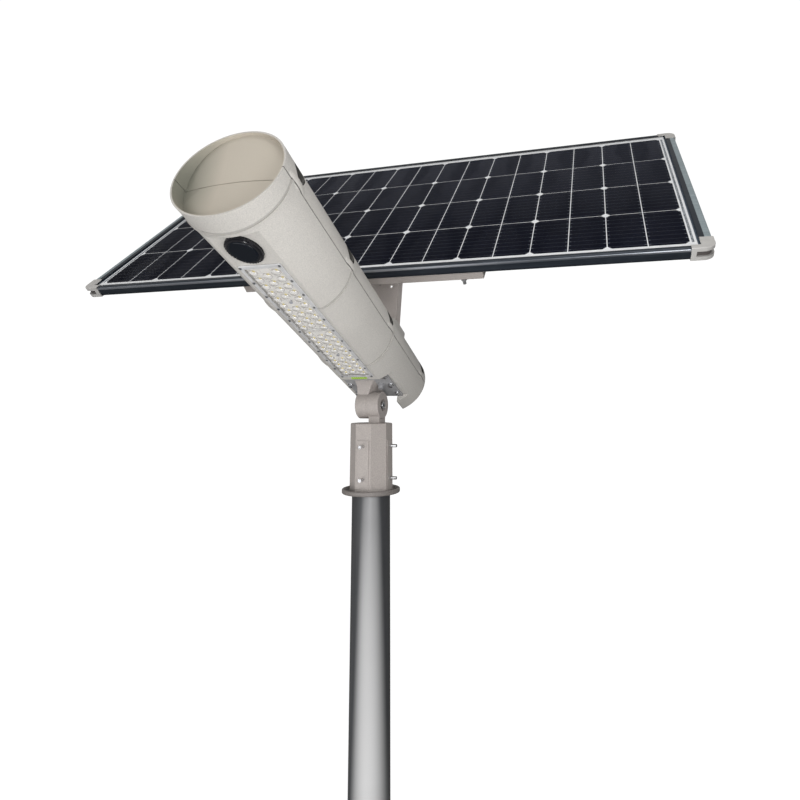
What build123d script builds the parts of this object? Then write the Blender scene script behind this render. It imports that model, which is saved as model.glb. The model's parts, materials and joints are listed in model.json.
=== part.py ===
from build123d import *
from math import cos, radians, sin
import os

os.makedirs("parts", exist_ok=True)

# ---------------------------------------------------------------------------
# Solar street lamp on the top of its pole. Millimetres. +Z is up, +X runs along
# the panel's long side, -Y is the side that the lamp's mouth points to. The
# origin is the centre of the pole section's lower end.
# ---------------------------------------------------------------------------

# Pole section
POLE_HEIGHT = 765
POLE_FOOT_RADIUS = 51
POLE_TOP_RADIUS = 46
POLE_WALL = 4
SOCKET_RADIUS = 46.6
SOCKET_DEPTH = 120
SPIGOT_RADIUS = 38
SPIGOT_WALL = 4
SPIGOT_BOTTOM = 690
SPIGOT_TOP = 903
RING_RADIUS = 70
RING_TOP = 776
RING_FLOOR = 769

# Adaptor (octagonal sleeve with one ear)
ADAPTOR_BOTTOM = 770
ADAPTOR_TOP = 935
ADAPTOR_FLATS_BOTTOM = 96
ADAPTOR_FLATS_TOP = 93
SLEEVE_CLEARANCE = 0.4
SET_SCREW_RADIUS = 4
SET_SCREW_LEVELS = (802, 880)
SET_SCREW_REACH = 66

# Knuckle
PIVOT_Z = 978.5
EAR_RADIUS = 33
EAR_WIDTH = 30
KNUCKLE_GAP = 0.3
BOLT_RADIUS = 6
BOLT_HEAD_RADIUS = 9
BOLT_RECESS_RADIUS = 14.5
BOLT_RECESS_DEPTH = 9

# Lamp housing: an elliptical tube of two shells, tilted about the knuckle
LAMP_TILT = 24.2
MOUTH_AHEAD = 618
AXIS_ABOVE_PIVOT = 106.9
HOUSING_LENGTH = 713
HALF_WIDTH = 96.4
HALF_HEIGHT = 88.7
WALL = 3
SEAM_LEVEL = -2.5
SEAM_GAP = 1.4
FACET_LEVEL = -77.2
FACET_START = 46.5
RIM_WALL = 3.6
RECESS_DEPTH = 25
RECESS_LEAN = 12.5
DOME_RISE = 7.5
RING_STATIONS = (24.6, 239.6, 459.6)
RING_RAKE = 8.6
SCREW_STATIONS = (36, 232, 446, 682)
SCREW_SIDE = 88.5

# Mounting recess under the rear of the lamp
PLATE_START = 536
PLATE_END = 660
PLATE_CUT_LEVEL = -58
PLATE_LEVEL = -63
NOTCH_HALF_WIDTH = 45
NOTCH_LEVEL = -34
NECK_START = 568
NECK_END = 656

# Light module
LED_START = 119
LED_LENGTH = 400
LED_HALF_WIDTH = 40
LED_FRAME_BAND = 6.5
LED_FRAME_TOP = FACET_LEVEL - 2.8
MODULE_LENGTH = 190
LED_PITCH = 19
LED_COLUMN = 22
LEDS_PER_COLUMN = 10

# Motion sensor
SENSOR_STATION = 81
SENSOR_RADIUS = 30

# Post between lamp and panel
POST_HALF_WIDTH = 48
POST_DEPTH = 27
POST_SHEET = 3
POST_LEAN = 9.5
POST_STATION = 577
BOSS_LEVEL = 108

# Solar panel: cells, glass and frame. Its frame of reference has its origin at the
# middle of the cell grid's near edge, "up the slope" along the short side.
PANEL_TILT = 44.1
GRID_Y = -92
GRID_Z = 1300
CELL_PITCH = 80.4
CELL_GAP = 2
ROWS = 4
HALF_COLUMNS = 18
BORDER_SIDE = 41
BORDER_SLOPE = 29
FRAME_TOP = 4.5
FRAME_DEPTH = 25
FRAME_WALL = 3
CAP_SIZE = 46

GRID_LENGTH = CELL_PITCH * HALF_COLUMNS
GRID_HEIGHT = 2 * CELL_PITCH * ROWS
FRAME_HALF_LENGTH = GRID_LENGTH / 2 + BORDER_SIDE
FRAME_NEAR = -BORDER_SLOPE
FRAME_FAR = GRID_HEIGHT + BORDER_SLOPE
FRAME_BACK = FRAME_TOP - FRAME_DEPTH

# Directions and planes of the tilted assemblies
ALONG = Vector(0, cos(radians(LAMP_TILT)), -sin(radians(LAMP_TILT)))
ABOVE = Vector(0, sin(radians(LAMP_TILT)), cos(radians(LAMP_TILT)))
MOUTH = Vector(0, 0, PIVOT_Z) - ALONG * MOUTH_AHEAD + ABOVE * AXIS_ABOVE_PIVOT
UPSLOPE = Vector(0, cos(radians(PANEL_TILT)), sin(radians(PANEL_TILT)))
FACING = Vector(0, -sin(radians(PANEL_TILT)), cos(radians(PANEL_TILT)))
GRID = Vector(0, GRID_Y, GRID_Z)
POST_FOOT = MOUTH + ALONG * POST_STATION + ABOVE * BOSS_LEVEL
POST_UP = Vector(0, sin(radians(POST_LEAN)), cos(radians(POST_LEAN)))
POST_BACK = Vector(0, cos(radians(POST_LEAN)), -sin(radians(POST_LEAN)))


def lamp_point(x, s, n):
    """x across, s back from the mouth along the tube, n above the tube's axis."""
    return MOUTH + Vector(x, 0, 0) + ALONG * s + ABOVE * n


def lamp_level(n, x=0, s=0):
    """Plane parallel to the light's face: sketch x across, y back along the tube."""
    return Plane(origin=lamp_point(x, s, n), x_dir=(1, 0, 0), z_dir=ABOVE)


def lamp_section(s, x=0, n=0):
    """Cross-section of the tube: sketch x across, y up, normal towards the mouth."""
    return Plane(origin=lamp_point(x, s, n), x_dir=(1, 0, 0), z_dir=-ALONG)


def lamp_side(x):
    """Plane along the tube at one x: sketch x back along the tube, y up."""
    return Plane(origin=lamp_point(x, 0, 0), x_dir=ALONG, z_dir=(1, 0, 0))


def panel_point(x, u, h):
    """x along the panel, u up the slope, h out of the cell plane."""
    return GRID + Vector(x, 0, 0) + UPSLOPE * u + FACING * h


def panel_level(h, x=0, u=0):
    """Plane parallel to the cells: sketch x along the panel, y up the slope."""
    return Plane(origin=panel_point(x, u, h), x_dir=(1, 0, 0), z_dir=FACING)


def panel_side(x):
    """Plane across the panel: sketch x up the slope, y out of the cell plane."""
    return Plane(origin=panel_point(x, 0, 0), x_dir=UPSLOPE, z_dir=(1, 0, 0))


def panel_cross(u):
    """Plane square to the slope: sketch x along the panel, y out of the cell plane."""
    return Plane(origin=panel_point(0, u, 0), x_dir=(1, 0, 0), z_dir=-UPSLOPE)


def finish(builder, name):
    """Label a finished part and write it to its own file."""
    builder.part.label = name
    export_step(builder.part, f"parts/{name}.step")


# ---------------------------------------------------------------------------
# Pole top
# ---------------------------------------------------------------------------
socket_outer_radius = POLE_FOOT_RADIUS + (POLE_TOP_RADIUS - POLE_FOOT_RADIUS) * SOCKET_DEPTH / POLE_HEIGHT

with BuildPart() as pole:
    with BuildSketch(Plane.XZ):
        with BuildLine():
            Polyline(
                (SOCKET_RADIUS, 0),
                (POLE_FOOT_RADIUS, 0),
                (POLE_TOP_RADIUS, POLE_HEIGHT),
                (POLE_TOP_RADIUS - POLE_WALL, POLE_HEIGHT),
                (socket_outer_radius - POLE_WALL - 1, SOCKET_DEPTH),
                (SOCKET_RADIUS, SOCKET_DEPTH),
                close=True,
            )
        make_face()
    revolve(axis=Axis.Z)
finish(pole, "pole_section")

with BuildPart() as spigot:
    with BuildSketch(Plane.XY.offset(SPIGOT_BOTTOM)):
        Circle(SPIGOT_RADIUS)
        Circle(SPIGOT_RADIUS - SPIGOT_WALL, mode=Mode.SUBTRACT)
    extrude(amount=SPIGOT_TOP - SPIGOT_BOTTOM)
    chamfer(spigot.edges().filter_by(GeomType.CIRCLE).sort_by(Axis.Z)[-1], 1)
finish(spigot, "pole_spigot")

# The spigot's lower end is held in the pole by a welded centring disc
with BuildPart() as centring_disc:
    with BuildSketch(Plane.XY.offset(SPIGOT_BOTTOM)):
        Circle(POLE_TOP_RADIUS - POLE_WALL)
        Circle(SPIGOT_RADIUS, mode=Mode.SUBTRACT)
    extrude(amount=6)
finish(centring_disc, "centring_disc")

with BuildPart() as cover_ring:
    with BuildSketch(Plane.XZ):
        with BuildLine():
            Polyline(
                (SPIGOT_RADIUS, POLE_HEIGHT),
                (RING_RADIUS - 2, POLE_HEIGHT),
                (RING_RADIUS, POLE_HEIGHT + 2),
                (RING_RADIUS, RING_TOP - 1.5),
                (RING_RADIUS - 1.5, RING_TOP),
                (RING_RADIUS - 4.5, RING_TOP),
                (RING_RADIUS - 9, RING_FLOOR),
                (SPIGOT_RADIUS, RING_FLOOR),
                close=True,
            )
        make_face()
    revolve(axis=Axis.Z)
finish(cover_ring, "cover_ring")

# ---------------------------------------------------------------------------
# Adaptor
# ---------------------------------------------------------------------------
octagon_corner = 1 / cos(radians(22.5))
PAD_TOP = 894
PAD_HALF_WIDTH = 15
PAD_FACE = ADAPTOR_FLATS_BOTTOM / 2 + 0.9
WEB_HALF_DEPTH = 18
CABLE_HOLE_RADIUS = 10

with BuildPart() as adaptor:
    with BuildSketch(Plane.XY.offset(ADAPTOR_BOTTOM)):
        RegularPolygon(ADAPTOR_FLATS_BOTTOM / 2 * octagon_corner, 8, rotation=22.5)
    with BuildSketch(Plane.XY.offset(ADAPTOR_TOP)):
        RegularPolygon(ADAPTOR_FLATS_TOP / 2 * octagon_corner, 8, rotation=22.5)
    loft()
    fillet(adaptor.faces().sort_by(Axis.Z)[-1].edges(), 3)
    with BuildSketch(Plane.XY.offset(ADAPTOR_BOTTOM + 2)):
        Rectangle(2 * PAD_FACE, 2 * PAD_HALF_WIDTH)
        Rectangle(2 * PAD_HALF_WIDTH, 2 * PAD_FACE)
    extrude(amount=PAD_TOP - ADAPTOR_BOTTOM - 2)
    # Ear: a web rising from the sleeve, ending in a round boss on the pivot
    with BuildSketch(Plane.YZ.offset(KNUCKLE_GAP / 2)):
        with Locations((0, (ADAPTOR_TOP - 6 + PIVOT_Z) / 2)):
            Rectangle(2 * WEB_HALF_DEPTH, PIVOT_Z - ADAPTOR_TOP + 6)
    extrude(amount=EAR_WIDTH - KNUCKLE_GAP / 2 - 2)
    with BuildSketch(Plane.YZ.offset(KNUCKLE_GAP / 2)):
        with Locations((0, PIVOT_Z)):
            Circle(EAR_RADIUS)
    extrude(amount=EAR_WIDTH - KNUCKLE_GAP / 2)
    round_edges = adaptor.edges().filter_by(GeomType.CIRCLE)
    fillet(round_edges.filter_by_position(Axis.X, EAR_WIDTH - 0.1, EAR_WIDTH + 0.1), 1.5)
    # Clearance for the pivot bolt and the recess round its head
    with BuildSketch(Plane.YZ):
        with Locations((0, PIVOT_Z)):
            Circle(BOLT_RADIUS + 0.05)
    extrude(amount=EAR_WIDTH, mode=Mode.SUBTRACT)
    with BuildSketch(Plane.YZ.offset(EAR_WIDTH - BOLT_RECESS_DEPTH)):
        with Locations((0, PIVOT_Z)):
            Circle(BOLT_RECESS_RADIUS)
    extrude(amount=BOLT_RECESS_DEPTH, mode=Mode.SUBTRACT)
    # Bore for the spigot, cable hole through the top
    with BuildSketch(Plane.XY.offset(ADAPTOR_BOTTOM)):
        Circle(SPIGOT_RADIUS + SLEEVE_CLEARANCE)
    extrude(amount=SPIGOT_TOP + SLEEVE_CLEARANCE - ADAPTOR_BOTTOM, mode=Mode.SUBTRACT)
    with BuildSketch(Plane.XY.offset(ADAPTOR_BOTTOM)):
        with Locations((-24, 0)):
            Circle(CABLE_HOLE_RADIUS)
    extrude(amount=ADAPTOR_TOP - ADAPTOR_BOTTOM, mode=Mode.SUBTRACT)
    # Tapped holes of the set screws, on the front and the right
    for level in SET_SCREW_LEVELS:
        for side in (Plane.XZ, Plane.YZ):
            with BuildSketch(side):
                with Locations((0, level)):
                    Circle(SET_SCREW_RADIUS)
            extrude(amount=ADAPTOR_FLATS_BOTTOM, mode=Mode.SUBTRACT)
finish(adaptor, "adaptor")

SET_SCREW_SOCKET = 4
with BuildPart() as set_screws:
    for level in SET_SCREW_LEVELS:
        for outward in (Vector(0, -1, 0), Vector(1, 0, 0)):
            with BuildSketch(Plane(origin=(0, 0, level), z_dir=outward).offset(SPIGOT_RADIUS + 0.1)):
                Circle(SET_SCREW_RADIUS)
            extrude(amount=SET_SCREW_REACH - SPIGOT_RADIUS - 0.1)
            with BuildSketch(Plane(origin=(0, 0, level), z_dir=outward).offset(SET_SCREW_REACH)):
                RegularPolygon(SET_SCREW_SOCKET / 2, 6)
            extrude(amount=-4, mode=Mode.SUBTRACT)
finish(set_screws, "set_screws")

# Pivot bolt with its socket head, and the washer and nut in the other half
NUT_RECESS_DEPTH = 13
NUT_THICKNESS = 10
NUT_RADIUS = 10.2
WASHER_RADIUS = 12
with BuildPart() as pivot_bolt:
    with BuildSketch(Plane.YZ.offset(EAR_WIDTH - BOLT_RECESS_DEPTH)):
        with Locations((0, PIVOT_Z)):
            Circle(BOLT_HEAD_RADIUS)
    extrude(amount=11)
    fillet(pivot_bolt.faces().sort_by(Axis.X)[-1].edges(), 1)
    with BuildSketch(Plane.YZ.offset(EAR_WIDTH - BOLT_RECESS_DEPTH + 11)):
        with Locations((0, PIVOT_Z)):
            RegularPolygon(5.8, 6)
    extrude(amount=-7, mode=Mode.SUBTRACT)
    with BuildSketch(Plane.YZ.offset(EAR_WIDTH - BOLT_RECESS_DEPTH)):
        with Locations((0, PIVOT_Z)):
            Circle(BOLT_RADIUS)
    extrude(amount=-(2 * EAR_WIDTH - BOLT_RECESS_DEPTH - 1))
finish(pivot_bolt, "pivot_bolt")

with BuildPart() as pivot_nut:
    with BuildSketch(Plane.YZ.offset(-EAR_WIDTH + NUT_RECESS_DEPTH - 1.8)):
        with Locations((0, PIVOT_Z)):
            RegularPolygon(NUT_RADIUS, 6)
            Circle(BOLT_RADIUS, mode=Mode.SUBTRACT)
    extrude(amount=-NUT_THICKNESS)
finish(pivot_nut, "pivot_nut")

with BuildPart() as pivot_washers:
    for face_x in (-EAR_WIDTH + NUT_RECESS_DEPTH - 1.8, EAR_WIDTH - BOLT_RECESS_DEPTH):
        outer_radius = WASHER_RADIUS if face_x < 0 else WASHER_RADIUS + 1
        inner_radius = BOLT_RADIUS if face_x < 0 else BOLT_HEAD_RADIUS
        with BuildSketch(Plane.YZ.offset(face_x)):
            with Locations((0, PIVOT_Z)):
                Circle(outer_radius)
                Circle(inner_radius, mode=Mode.SUBTRACT)
        extrude(amount=1.5)
finish(pivot_washers, "pivot_washers")

# ---------------------------------------------------------------------------
# Knuckle half fixed under the lamp
# ---------------------------------------------------------------------------
EAR_CENTRE_X = -EAR_WIDTH / 2
NECK_FOOT_X = -8
NECK_FOOT_HALF_WIDTH = 25
NECK_FLARE_LEVEL = -72
NECK_WAIST_LEVEL = -92
with BuildPart() as knuckle:
    with BuildSketch(Plane.YZ.offset(-KNUCKLE_GAP / 2)):
        with Locations((0, PIVOT_Z)):
            Circle(EAR_RADIUS)
    extrude(amount=-(EAR_WIDTH - KNUCKLE_GAP / 2))
    fillet(knuckle.faces().sort_by(Axis.X)[0].edges(), 2)
    # Neck that flares into the foot on the plate
    with BuildSketch(lamp_level(PLATE_LEVEL, NECK_FOOT_X, (NECK_START + NECK_END) / 2)):
        RectangleRounded(2 * NECK_FOOT_HALF_WIDTH, NECK_END - NECK_START, 3)
    with BuildSketch(lamp_level(NECK_FLARE_LEVEL, (NECK_FOOT_X + EAR_CENTRE_X) / 2, MOUTH_AHEAD - 3)):
        RectangleRounded(EAR_WIDTH + 8, 72, 3)
    with BuildSketch(lamp_level(NECK_WAIST_LEVEL, EAR_CENTRE_X, MOUTH_AHEAD)):
        RectangleRounded(EAR_WIDTH - 1, 58, 3)
    loft(ruled=True)
    # Room for the other half to turn under the flared foot
    with BuildSketch(Plane.YZ.offset(-KNUCKLE_GAP / 2)):
        with Locations((0, PIVOT_Z)):
            Circle(EAR_RADIUS + 0.6)
    extrude(amount=EAR_WIDTH, mode=Mode.SUBTRACT)
    with BuildSketch(Plane.YZ.offset(-EAR_WIDTH)):
        with Locations((0, PIVOT_Z)):
            Circle(BOLT_RADIUS + 0.05)
    extrude(amount=2 * EAR_WIDTH, mode=Mode.SUBTRACT)
    with BuildSketch(Plane.YZ.offset(-EAR_WIDTH)):
        with Locations((0, PIVOT_Z)):
            Circle(WASHER_RADIUS + 0.6)
    extrude(amount=NUT_RECESS_DEPTH, mode=Mode.SUBTRACT)
finish(knuckle, "knuckle")

# ---------------------------------------------------------------------------
# Lamp housing
# ---------------------------------------------------------------------------
CAVITY_START = RECESS_DEPTH + 4
REAR_ROUND = 9
FAIRING_ACROSS = 14
FAIRING_ALONG = 34
FAIRING_LEVEL = 4
POCKET_ACROSS = 7.5
POCKET_ALONG = 15
POCKET_WALL = 2.5
POCKET_FIRST = CAVITY_START + POCKET_ALONG - 1
POCKET_LEVEL = 8
BOSS_START = 552
BOSS_END = 640
BOSS_HALF_WIDTH = 50
SENSOR_HOLE_RADIUS = 20
WINDOW_HALF_WIDTH = 33.6


def tube(inset, front, back):
    """A length of the housing's elliptical form, set in all round."""
    with BuildPart() as form:
        with BuildSketch(lamp_section(front)):
            Ellipse(HALF_WIDTH - inset, HALF_HEIGHT - inset)
        extrude(amount=front - back)
    return form.part


def underside_cut(inset):
    """What is cut off the form below: the light's facet, the plate recess and the notch."""
    with BuildPart() as cut:
        with BuildSketch(lamp_side(0)):
            with BuildLine():
                Polyline(
                    (FACET_START - 5 + inset, -HALF_HEIGHT - 6),
                    (FACET_START + inset, FACET_LEVEL + inset),
                    (PLATE_START - inset, FACET_LEVEL + inset),
                    (PLATE_START - inset, PLATE_CUT_LEVEL + inset),
                    (PLATE_END + inset, PLATE_CUT_LEVEL + inset),
                    (PLATE_END + inset, FACET_LEVEL + inset),
                    (HOUSING_LENGTH + 5, FACET_LEVEL + inset),
                    (HOUSING_LENGTH + 5, -HALF_HEIGHT - 6),
                    close=True,
                )
            make_face()
        extrude(amount=HALF_WIDTH + 5, both=True)
        with BuildSketch(lamp_section(PLATE_END - inset, n=NOTCH_LEVEL + inset)):
            with Locations((0, -40)):
                Rectangle(2 * (NOTCH_HALF_WIDTH + inset), 80)
        extrude(amount=-(HOUSING_LENGTH - PLATE_END + 10))
    return cut.part


def leaning(lean, s):
    """Plane that crosses the tube's axis at s and leans forwards above it."""
    across = ALONG * cos(radians(lean)) + ABOVE * sin(radians(lean))
    return Plane(origin=lamp_point(0, s, 0), x_dir=(1, 0, 0), z_dir=across)


def front_recess(lean):
    """The hollow of the mouth: open in front, with a domed floor that may lean forwards."""
    floor = leaning(lean, RECESS_DEPTH)
    with BuildPart() as hollow:
        with BuildSketch(lamp_section(-2)):
            Ellipse(HALF_WIDTH - RIM_WALL, HALF_HEIGHT - RIM_WALL)
        extrude(amount=-(RECESS_DEPTH + 32))
        split(bisect_by=floor, keep=Keep.BOTTOM)
        with BuildSketch(Plane(origin=floor.origin, x_dir=floor.z_dir, z_dir=(1, 0, 0))):
            with BuildLine():
                ThreePointArc((0, HALF_WIDTH), (-DOME_RISE, 0), (0, -HALF_WIDTH))
                Line((0, -HALF_WIDTH), (0, HALF_WIDTH))
            make_face()
            split(bisect_by=Plane.XZ)
        revolve(axis=Axis(floor.origin, floor.z_dir), mode=Mode.SUBTRACT)
    return hollow.part


def upper_cavity():
    """The room inside the upper shell, behind the leaning floor of the mouth."""
    with BuildPart() as room:
        add(tube(WALL, 1, HOUSING_LENGTH - WALL))
        split(bisect_by=leaning(RECESS_LEAN, CAVITY_START), keep=Keep.TOP)
    return room.part


def fairings():
    """Smooth swellings on both sides of the tube that hold the shell screws."""
    with BuildPart() as swellings:
        for station in SCREW_STATIONS:
            centre_s = min(station, HOUSING_LENGTH - FAIRING_ALONG - 8)
            for side in (-1, 1):
                centre_x = side * (HALF_WIDTH - FAIRING_ACROSS + 3.5)
                with BuildSketch(lamp_level(FAIRING_LEVEL, centre_x, centre_s)):
                    with BuildLine():
                        EllipticalCenterArc(
                            (0, 0),
                            FAIRING_ACROSS,
                            FAIRING_ALONG,
                            start_angle=-90,
                            arc_size=180,
                        )
                        Line((0, FAIRING_ALONG), (0, -FAIRING_ALONG))
                    make_face()
                revolve(axis=Axis(lamp_point(centre_x, centre_s, FAIRING_LEVEL), ALONG))
    return swellings.part


def pocket_walls(skin):
    """Columns inside the upper shell that close the screw pockets off from the cavity."""
    with BuildPart() as columns:
        for station in SCREW_STATIONS:
            for side in (-1, 1):
                pocket_s = max(station, POCKET_FIRST)
                with BuildSketch(lamp_level(SEAM_LEVEL + SEAM_GAP / 2, side * SCREW_SIDE, pocket_s)):
                    Ellipse(POCKET_ACROSS + POCKET_WALL, POCKET_ALONG + POCKET_WALL)
                extrude(amount=HALF_HEIGHT)
        add(skin, mode=Mode.INTERSECT)
    return columns.part


outer_form = tube(0, 0, HOUSING_LENGTH)
cavity_form = tube(WALL, CAVITY_START, HOUSING_LENGTH - WALL) - underside_cut(WALL)
fairing_form = fairings()
cut_form = underside_cut(0)

with BuildPart() as upper_shell:
    add(outer_form)
    rear_edge = upper_shell.edges().filter_by(GeomType.ELLIPSE).sort_by(Axis(MOUTH, ALONG))[-1]
    fillet(rear_edge, REAR_ROUND)
    add(fairing_form)
    # Raised seat for the post
    with BuildSketch(lamp_level(BOSS_LEVEL, s=(BOSS_START + BOSS_END) / 2)):
        RectangleRounded(2 * BOSS_HALF_WIDTH, BOSS_END - BOSS_START, 16)
    extrude(amount=-(BOSS_LEVEL - 30))
    seat_top = upper_shell.faces().sort_by(Axis(MOUTH, ABOVE))[-1]
    fillet(seat_top.edges(), 5)
    add(upper_cavity(), mode=Mode.SUBTRACT)
    split(bisect_by=lamp_level(SEAM_LEVEL + SEAM_GAP / 2), keep=Keep.TOP)
    add(pocket_walls(tube(1, 0, HOUSING_LENGTH - 1)))
    add(front_recess(RECESS_LEAN), mode=Mode.SUBTRACT)
    for station in SCREW_STATIONS:
        for side in (-1, 1):
            screw_x = side * SCREW_SIDE
            pocket_s = max(station, POCKET_FIRST)
            with BuildSketch(lamp_level(SEAM_LEVEL + SEAM_GAP / 2, screw_x, pocket_s)):
                Ellipse(POCKET_ACROSS + 1, POCKET_ALONG + 1)
            extrude(amount=POCKET_LEVEL - SEAM_LEVEL)
            with BuildSketch(lamp_level(POCKET_LEVEL, screw_x, pocket_s)):
                Ellipse(POCKET_ACROSS, POCKET_ALONG)
            extrude(amount=HALF_HEIGHT, mode=Mode.SUBTRACT)
            with BuildSketch(lamp_level(SEAM_LEVEL, screw_x, station)):
                Circle(2.7)
            extrude(amount=20, mode=Mode.SUBTRACT)
    # Tapped holes for the post's foot bolts
    with BuildSketch(lamp_level(BOSS_LEVEL, s=POST_STATION + 8)):
        with GridLocations(60, 20, 2, 2):
            Circle(3)
    extrude(amount=-14, mode=Mode.SUBTRACT)
finish(upper_shell, "upper_shell")

with BuildPart() as lower_shell:
    add(outer_form)
    rear_edge = lower_shell.edges().filter_by(GeomType.ELLIPSE).sort_by(Axis(MOUTH, ALONG))[-1]
    fillet(rear_edge, REAR_ROUND)
    add(fairing_form)
    for station in RING_STATIONS:
        rake_normal = ALONG * cos(radians(RING_RAKE)) + ABOVE * sin(radians(RING_RAKE))
        with BuildSketch(Plane(origin=lamp_point(0, station, 0), x_dir=(1, 0, 0), z_dir=-rake_normal)):
            Ellipse(HALF_WIDTH + 1.8, (HALF_HEIGHT + 1.8) / cos(radians(RING_RAKE)))
        extrude(amount=2.2, both=True)
    add(cut_form, mode=Mode.SUBTRACT)
    add(cavity_form, mode=Mode.SUBTRACT)
    split(bisect_by=lamp_level(SEAM_LEVEL - SEAM_GAP / 2), keep=Keep.BOTTOM)
    add(front_recess(0), mode=Mode.SUBTRACT)
    # Screw lugs, light window, sensor hole and plate bolt holes
    for station in SCREW_STATIONS:
        for side in (-1, 1):
            with BuildSketch(lamp_level(SEAM_LEVEL - SEAM_GAP / 2, side * SCREW_SIDE, station)):
                Circle(6)
            extrude(amount=-14)
            with BuildSketch(lamp_level(SEAM_LEVEL, side * SCREW_SIDE, station)):
                Circle(2.4)
            extrude(amount=-14, mode=Mode.SUBTRACT)
    with BuildSketch(lamp_level(FACET_LEVEL - 2, s=LED_START + LED_LENGTH / 2)):
        RectangleRounded(2 * WINDOW_HALF_WIDTH, LED_LENGTH - 2 * LED_FRAME_BAND - 1, 3)
    extrude(amount=8, mode=Mode.SUBTRACT)
    with BuildSketch(lamp_level(FACET_LEVEL - 2, s=SENSOR_STATION)):
        Circle(SENSOR_HOLE_RADIUS)
    extrude(amount=8, mode=Mode.SUBTRACT)
finish(lower_shell, "lower_shell")

GASKET_INSET = 2
with BuildPart() as shell_gasket:
    with BuildSketch(lamp_level(SEAM_LEVEL - SEAM_GAP / 2, s=HOUSING_LENGTH / 2)):
        Rectangle(2 * (HALF_WIDTH - GASKET_INSET), HOUSING_LENGTH - 2 * GASKET_INSET)
        Rectangle(2 * (HALF_WIDTH - WALL - 1.5), HOUSING_LENGTH - 2 * (WALL + 1.5), mode=Mode.SUBTRACT)
    extrude(amount=SEAM_GAP)
    with BuildSketch(lamp_level(SEAM_LEVEL, s=RECESS_DEPTH / 2 - 6)):
        Rectangle(2 * HALF_WIDTH, RECESS_DEPTH + 12)
    extrude(amount=SEAM_GAP, both=True, mode=Mode.SUBTRACT)
    with BuildSketch(lamp_level(SEAM_LEVEL - SEAM_GAP / 2, s=CAVITY_START - 1.5)):
        Rectangle(2 * (HALF_WIDTH - GASKET_INSET), 3)
    extrude(amount=SEAM_GAP)
    for station in SCREW_STATIONS:
        with BuildSketch(lamp_level(SEAM_LEVEL - SEAM_GAP, s=station)):
            with GridLocations(2 * SCREW_SIDE, 1, 2, 1):
                Circle(2.7)
        extrude(amount=2 * SEAM_GAP, mode=Mode.SUBTRACT)
finish(shell_gasket, "shell_gasket")

with BuildPart() as shell_screws:
    for station in SCREW_STATIONS:
        with BuildSketch(lamp_level(POCKET_LEVEL, s=station)):
            with GridLocations(2 * SCREW_SIDE, 1, 2, 1):
                Circle(4.5)
        extrude(amount=3.5)
        with BuildSketch(lamp_level(POCKET_LEVEL, s=station)):
            with GridLocations(2 * SCREW_SIDE, 1, 2, 1):
                Circle(2.4)
        extrude(amount=-22)
        with BuildSketch(lamp_level(POCKET_LEVEL + 3.5, s=station)):
            with GridLocations(2 * SCREW_SIDE, 1, 2, 1):
                RegularPolygon(2.2, 6)
        extrude(amount=-2, mode=Mode.SUBTRACT)
finish(shell_screws, "shell_screws")

# ---------------------------------------------------------------------------
# Mounting plate, its bolts and the cable gland
# ---------------------------------------------------------------------------
PLATE_THICKNESS = PLATE_CUT_LEVEL - PLATE_LEVEL
PLATE_BOLT_X = 53
PLATE_BOLT_STATIONS = (546, 591, 637)
GLAND_X = 29
GLAND_STATION = 590

with BuildPart() as mount_plate:
    with BuildSketch(lamp_level(PLATE_LEVEL, s=(PLATE_START + PLATE_END) / 2)):
        Rectangle(120, PLATE_END - PLATE_START - 3)
    extrude(amount=PLATE_THICKNESS)
    for station in PLATE_BOLT_STATIONS:
        with BuildSketch(lamp_level(PLATE_LEVEL, s=station)):
            with GridLocations(2 * PLATE_BOLT_X, 1, 2, 1):
                Circle(3)
        extrude(amount=PLATE_THICKNESS, mode=Mode.SUBTRACT)
    with BuildSketch(lamp_level(PLATE_LEVEL, GLAND_X, GLAND_STATION)):
        Circle(6)
    extrude(amount=PLATE_THICKNESS, mode=Mode.SUBTRACT)
finish(mount_plate, "mount_plate")

with BuildPart() as plate_bolts:
    for station in PLATE_BOLT_STATIONS:
        with BuildSketch(lamp_level(PLATE_LEVEL, s=station)):
            with GridLocations(2 * PLATE_BOLT_X, 1, 2, 1):
                Circle(7)
        extrude(amount=-1.4)
        with BuildSketch(lamp_level(PLATE_LEVEL - 1.4, s=station)):
            with GridLocations(2 * PLATE_BOLT_X, 1, 2, 1):
                Circle(5)
        extrude(amount=-6)
        with BuildSketch(lamp_level(PLATE_LEVEL - 7.4, s=station)):
            with GridLocations(2 * PLATE_BOLT_X, 1, 2, 1):
                RegularPolygon(2.9, 6)
        extrude(amount=3, mode=Mode.SUBTRACT)
        with BuildSketch(lamp_level(PLATE_LEVEL, s=station)):
            with GridLocations(2 * PLATE_BOLT_X, 1, 2, 1):
                Circle(3)
        extrude(amount=PLATE_THICKNESS)
finish(plate_bolts, "plate_bolts")

with BuildPart() as cable_gland:
    with BuildSketch(lamp_level(PLATE_LEVEL, GLAND_X, GLAND_STATION)):
        RegularPolygon(9, 6)
    extrude(amount=-5)
    with BuildSketch(lamp_level(PLATE_LEVEL - 5, GLAND_X, GLAND_STATION)):
        Circle(7.2)
    extrude(amount=-8, taper=12)
    with BuildSketch(lamp_level(PLATE_LEVEL, GLAND_X, GLAND_STATION)):
        Circle(6)
    extrude(amount=PLATE_THICKNESS)
    with BuildSketch(lamp_level(PLATE_LEVEL - 13, GLAND_X, GLAND_STATION)):
        Circle(3)
    extrude(amount=30, mode=Mode.SUBTRACT)
finish(cable_gland, "cable_gland")

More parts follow.
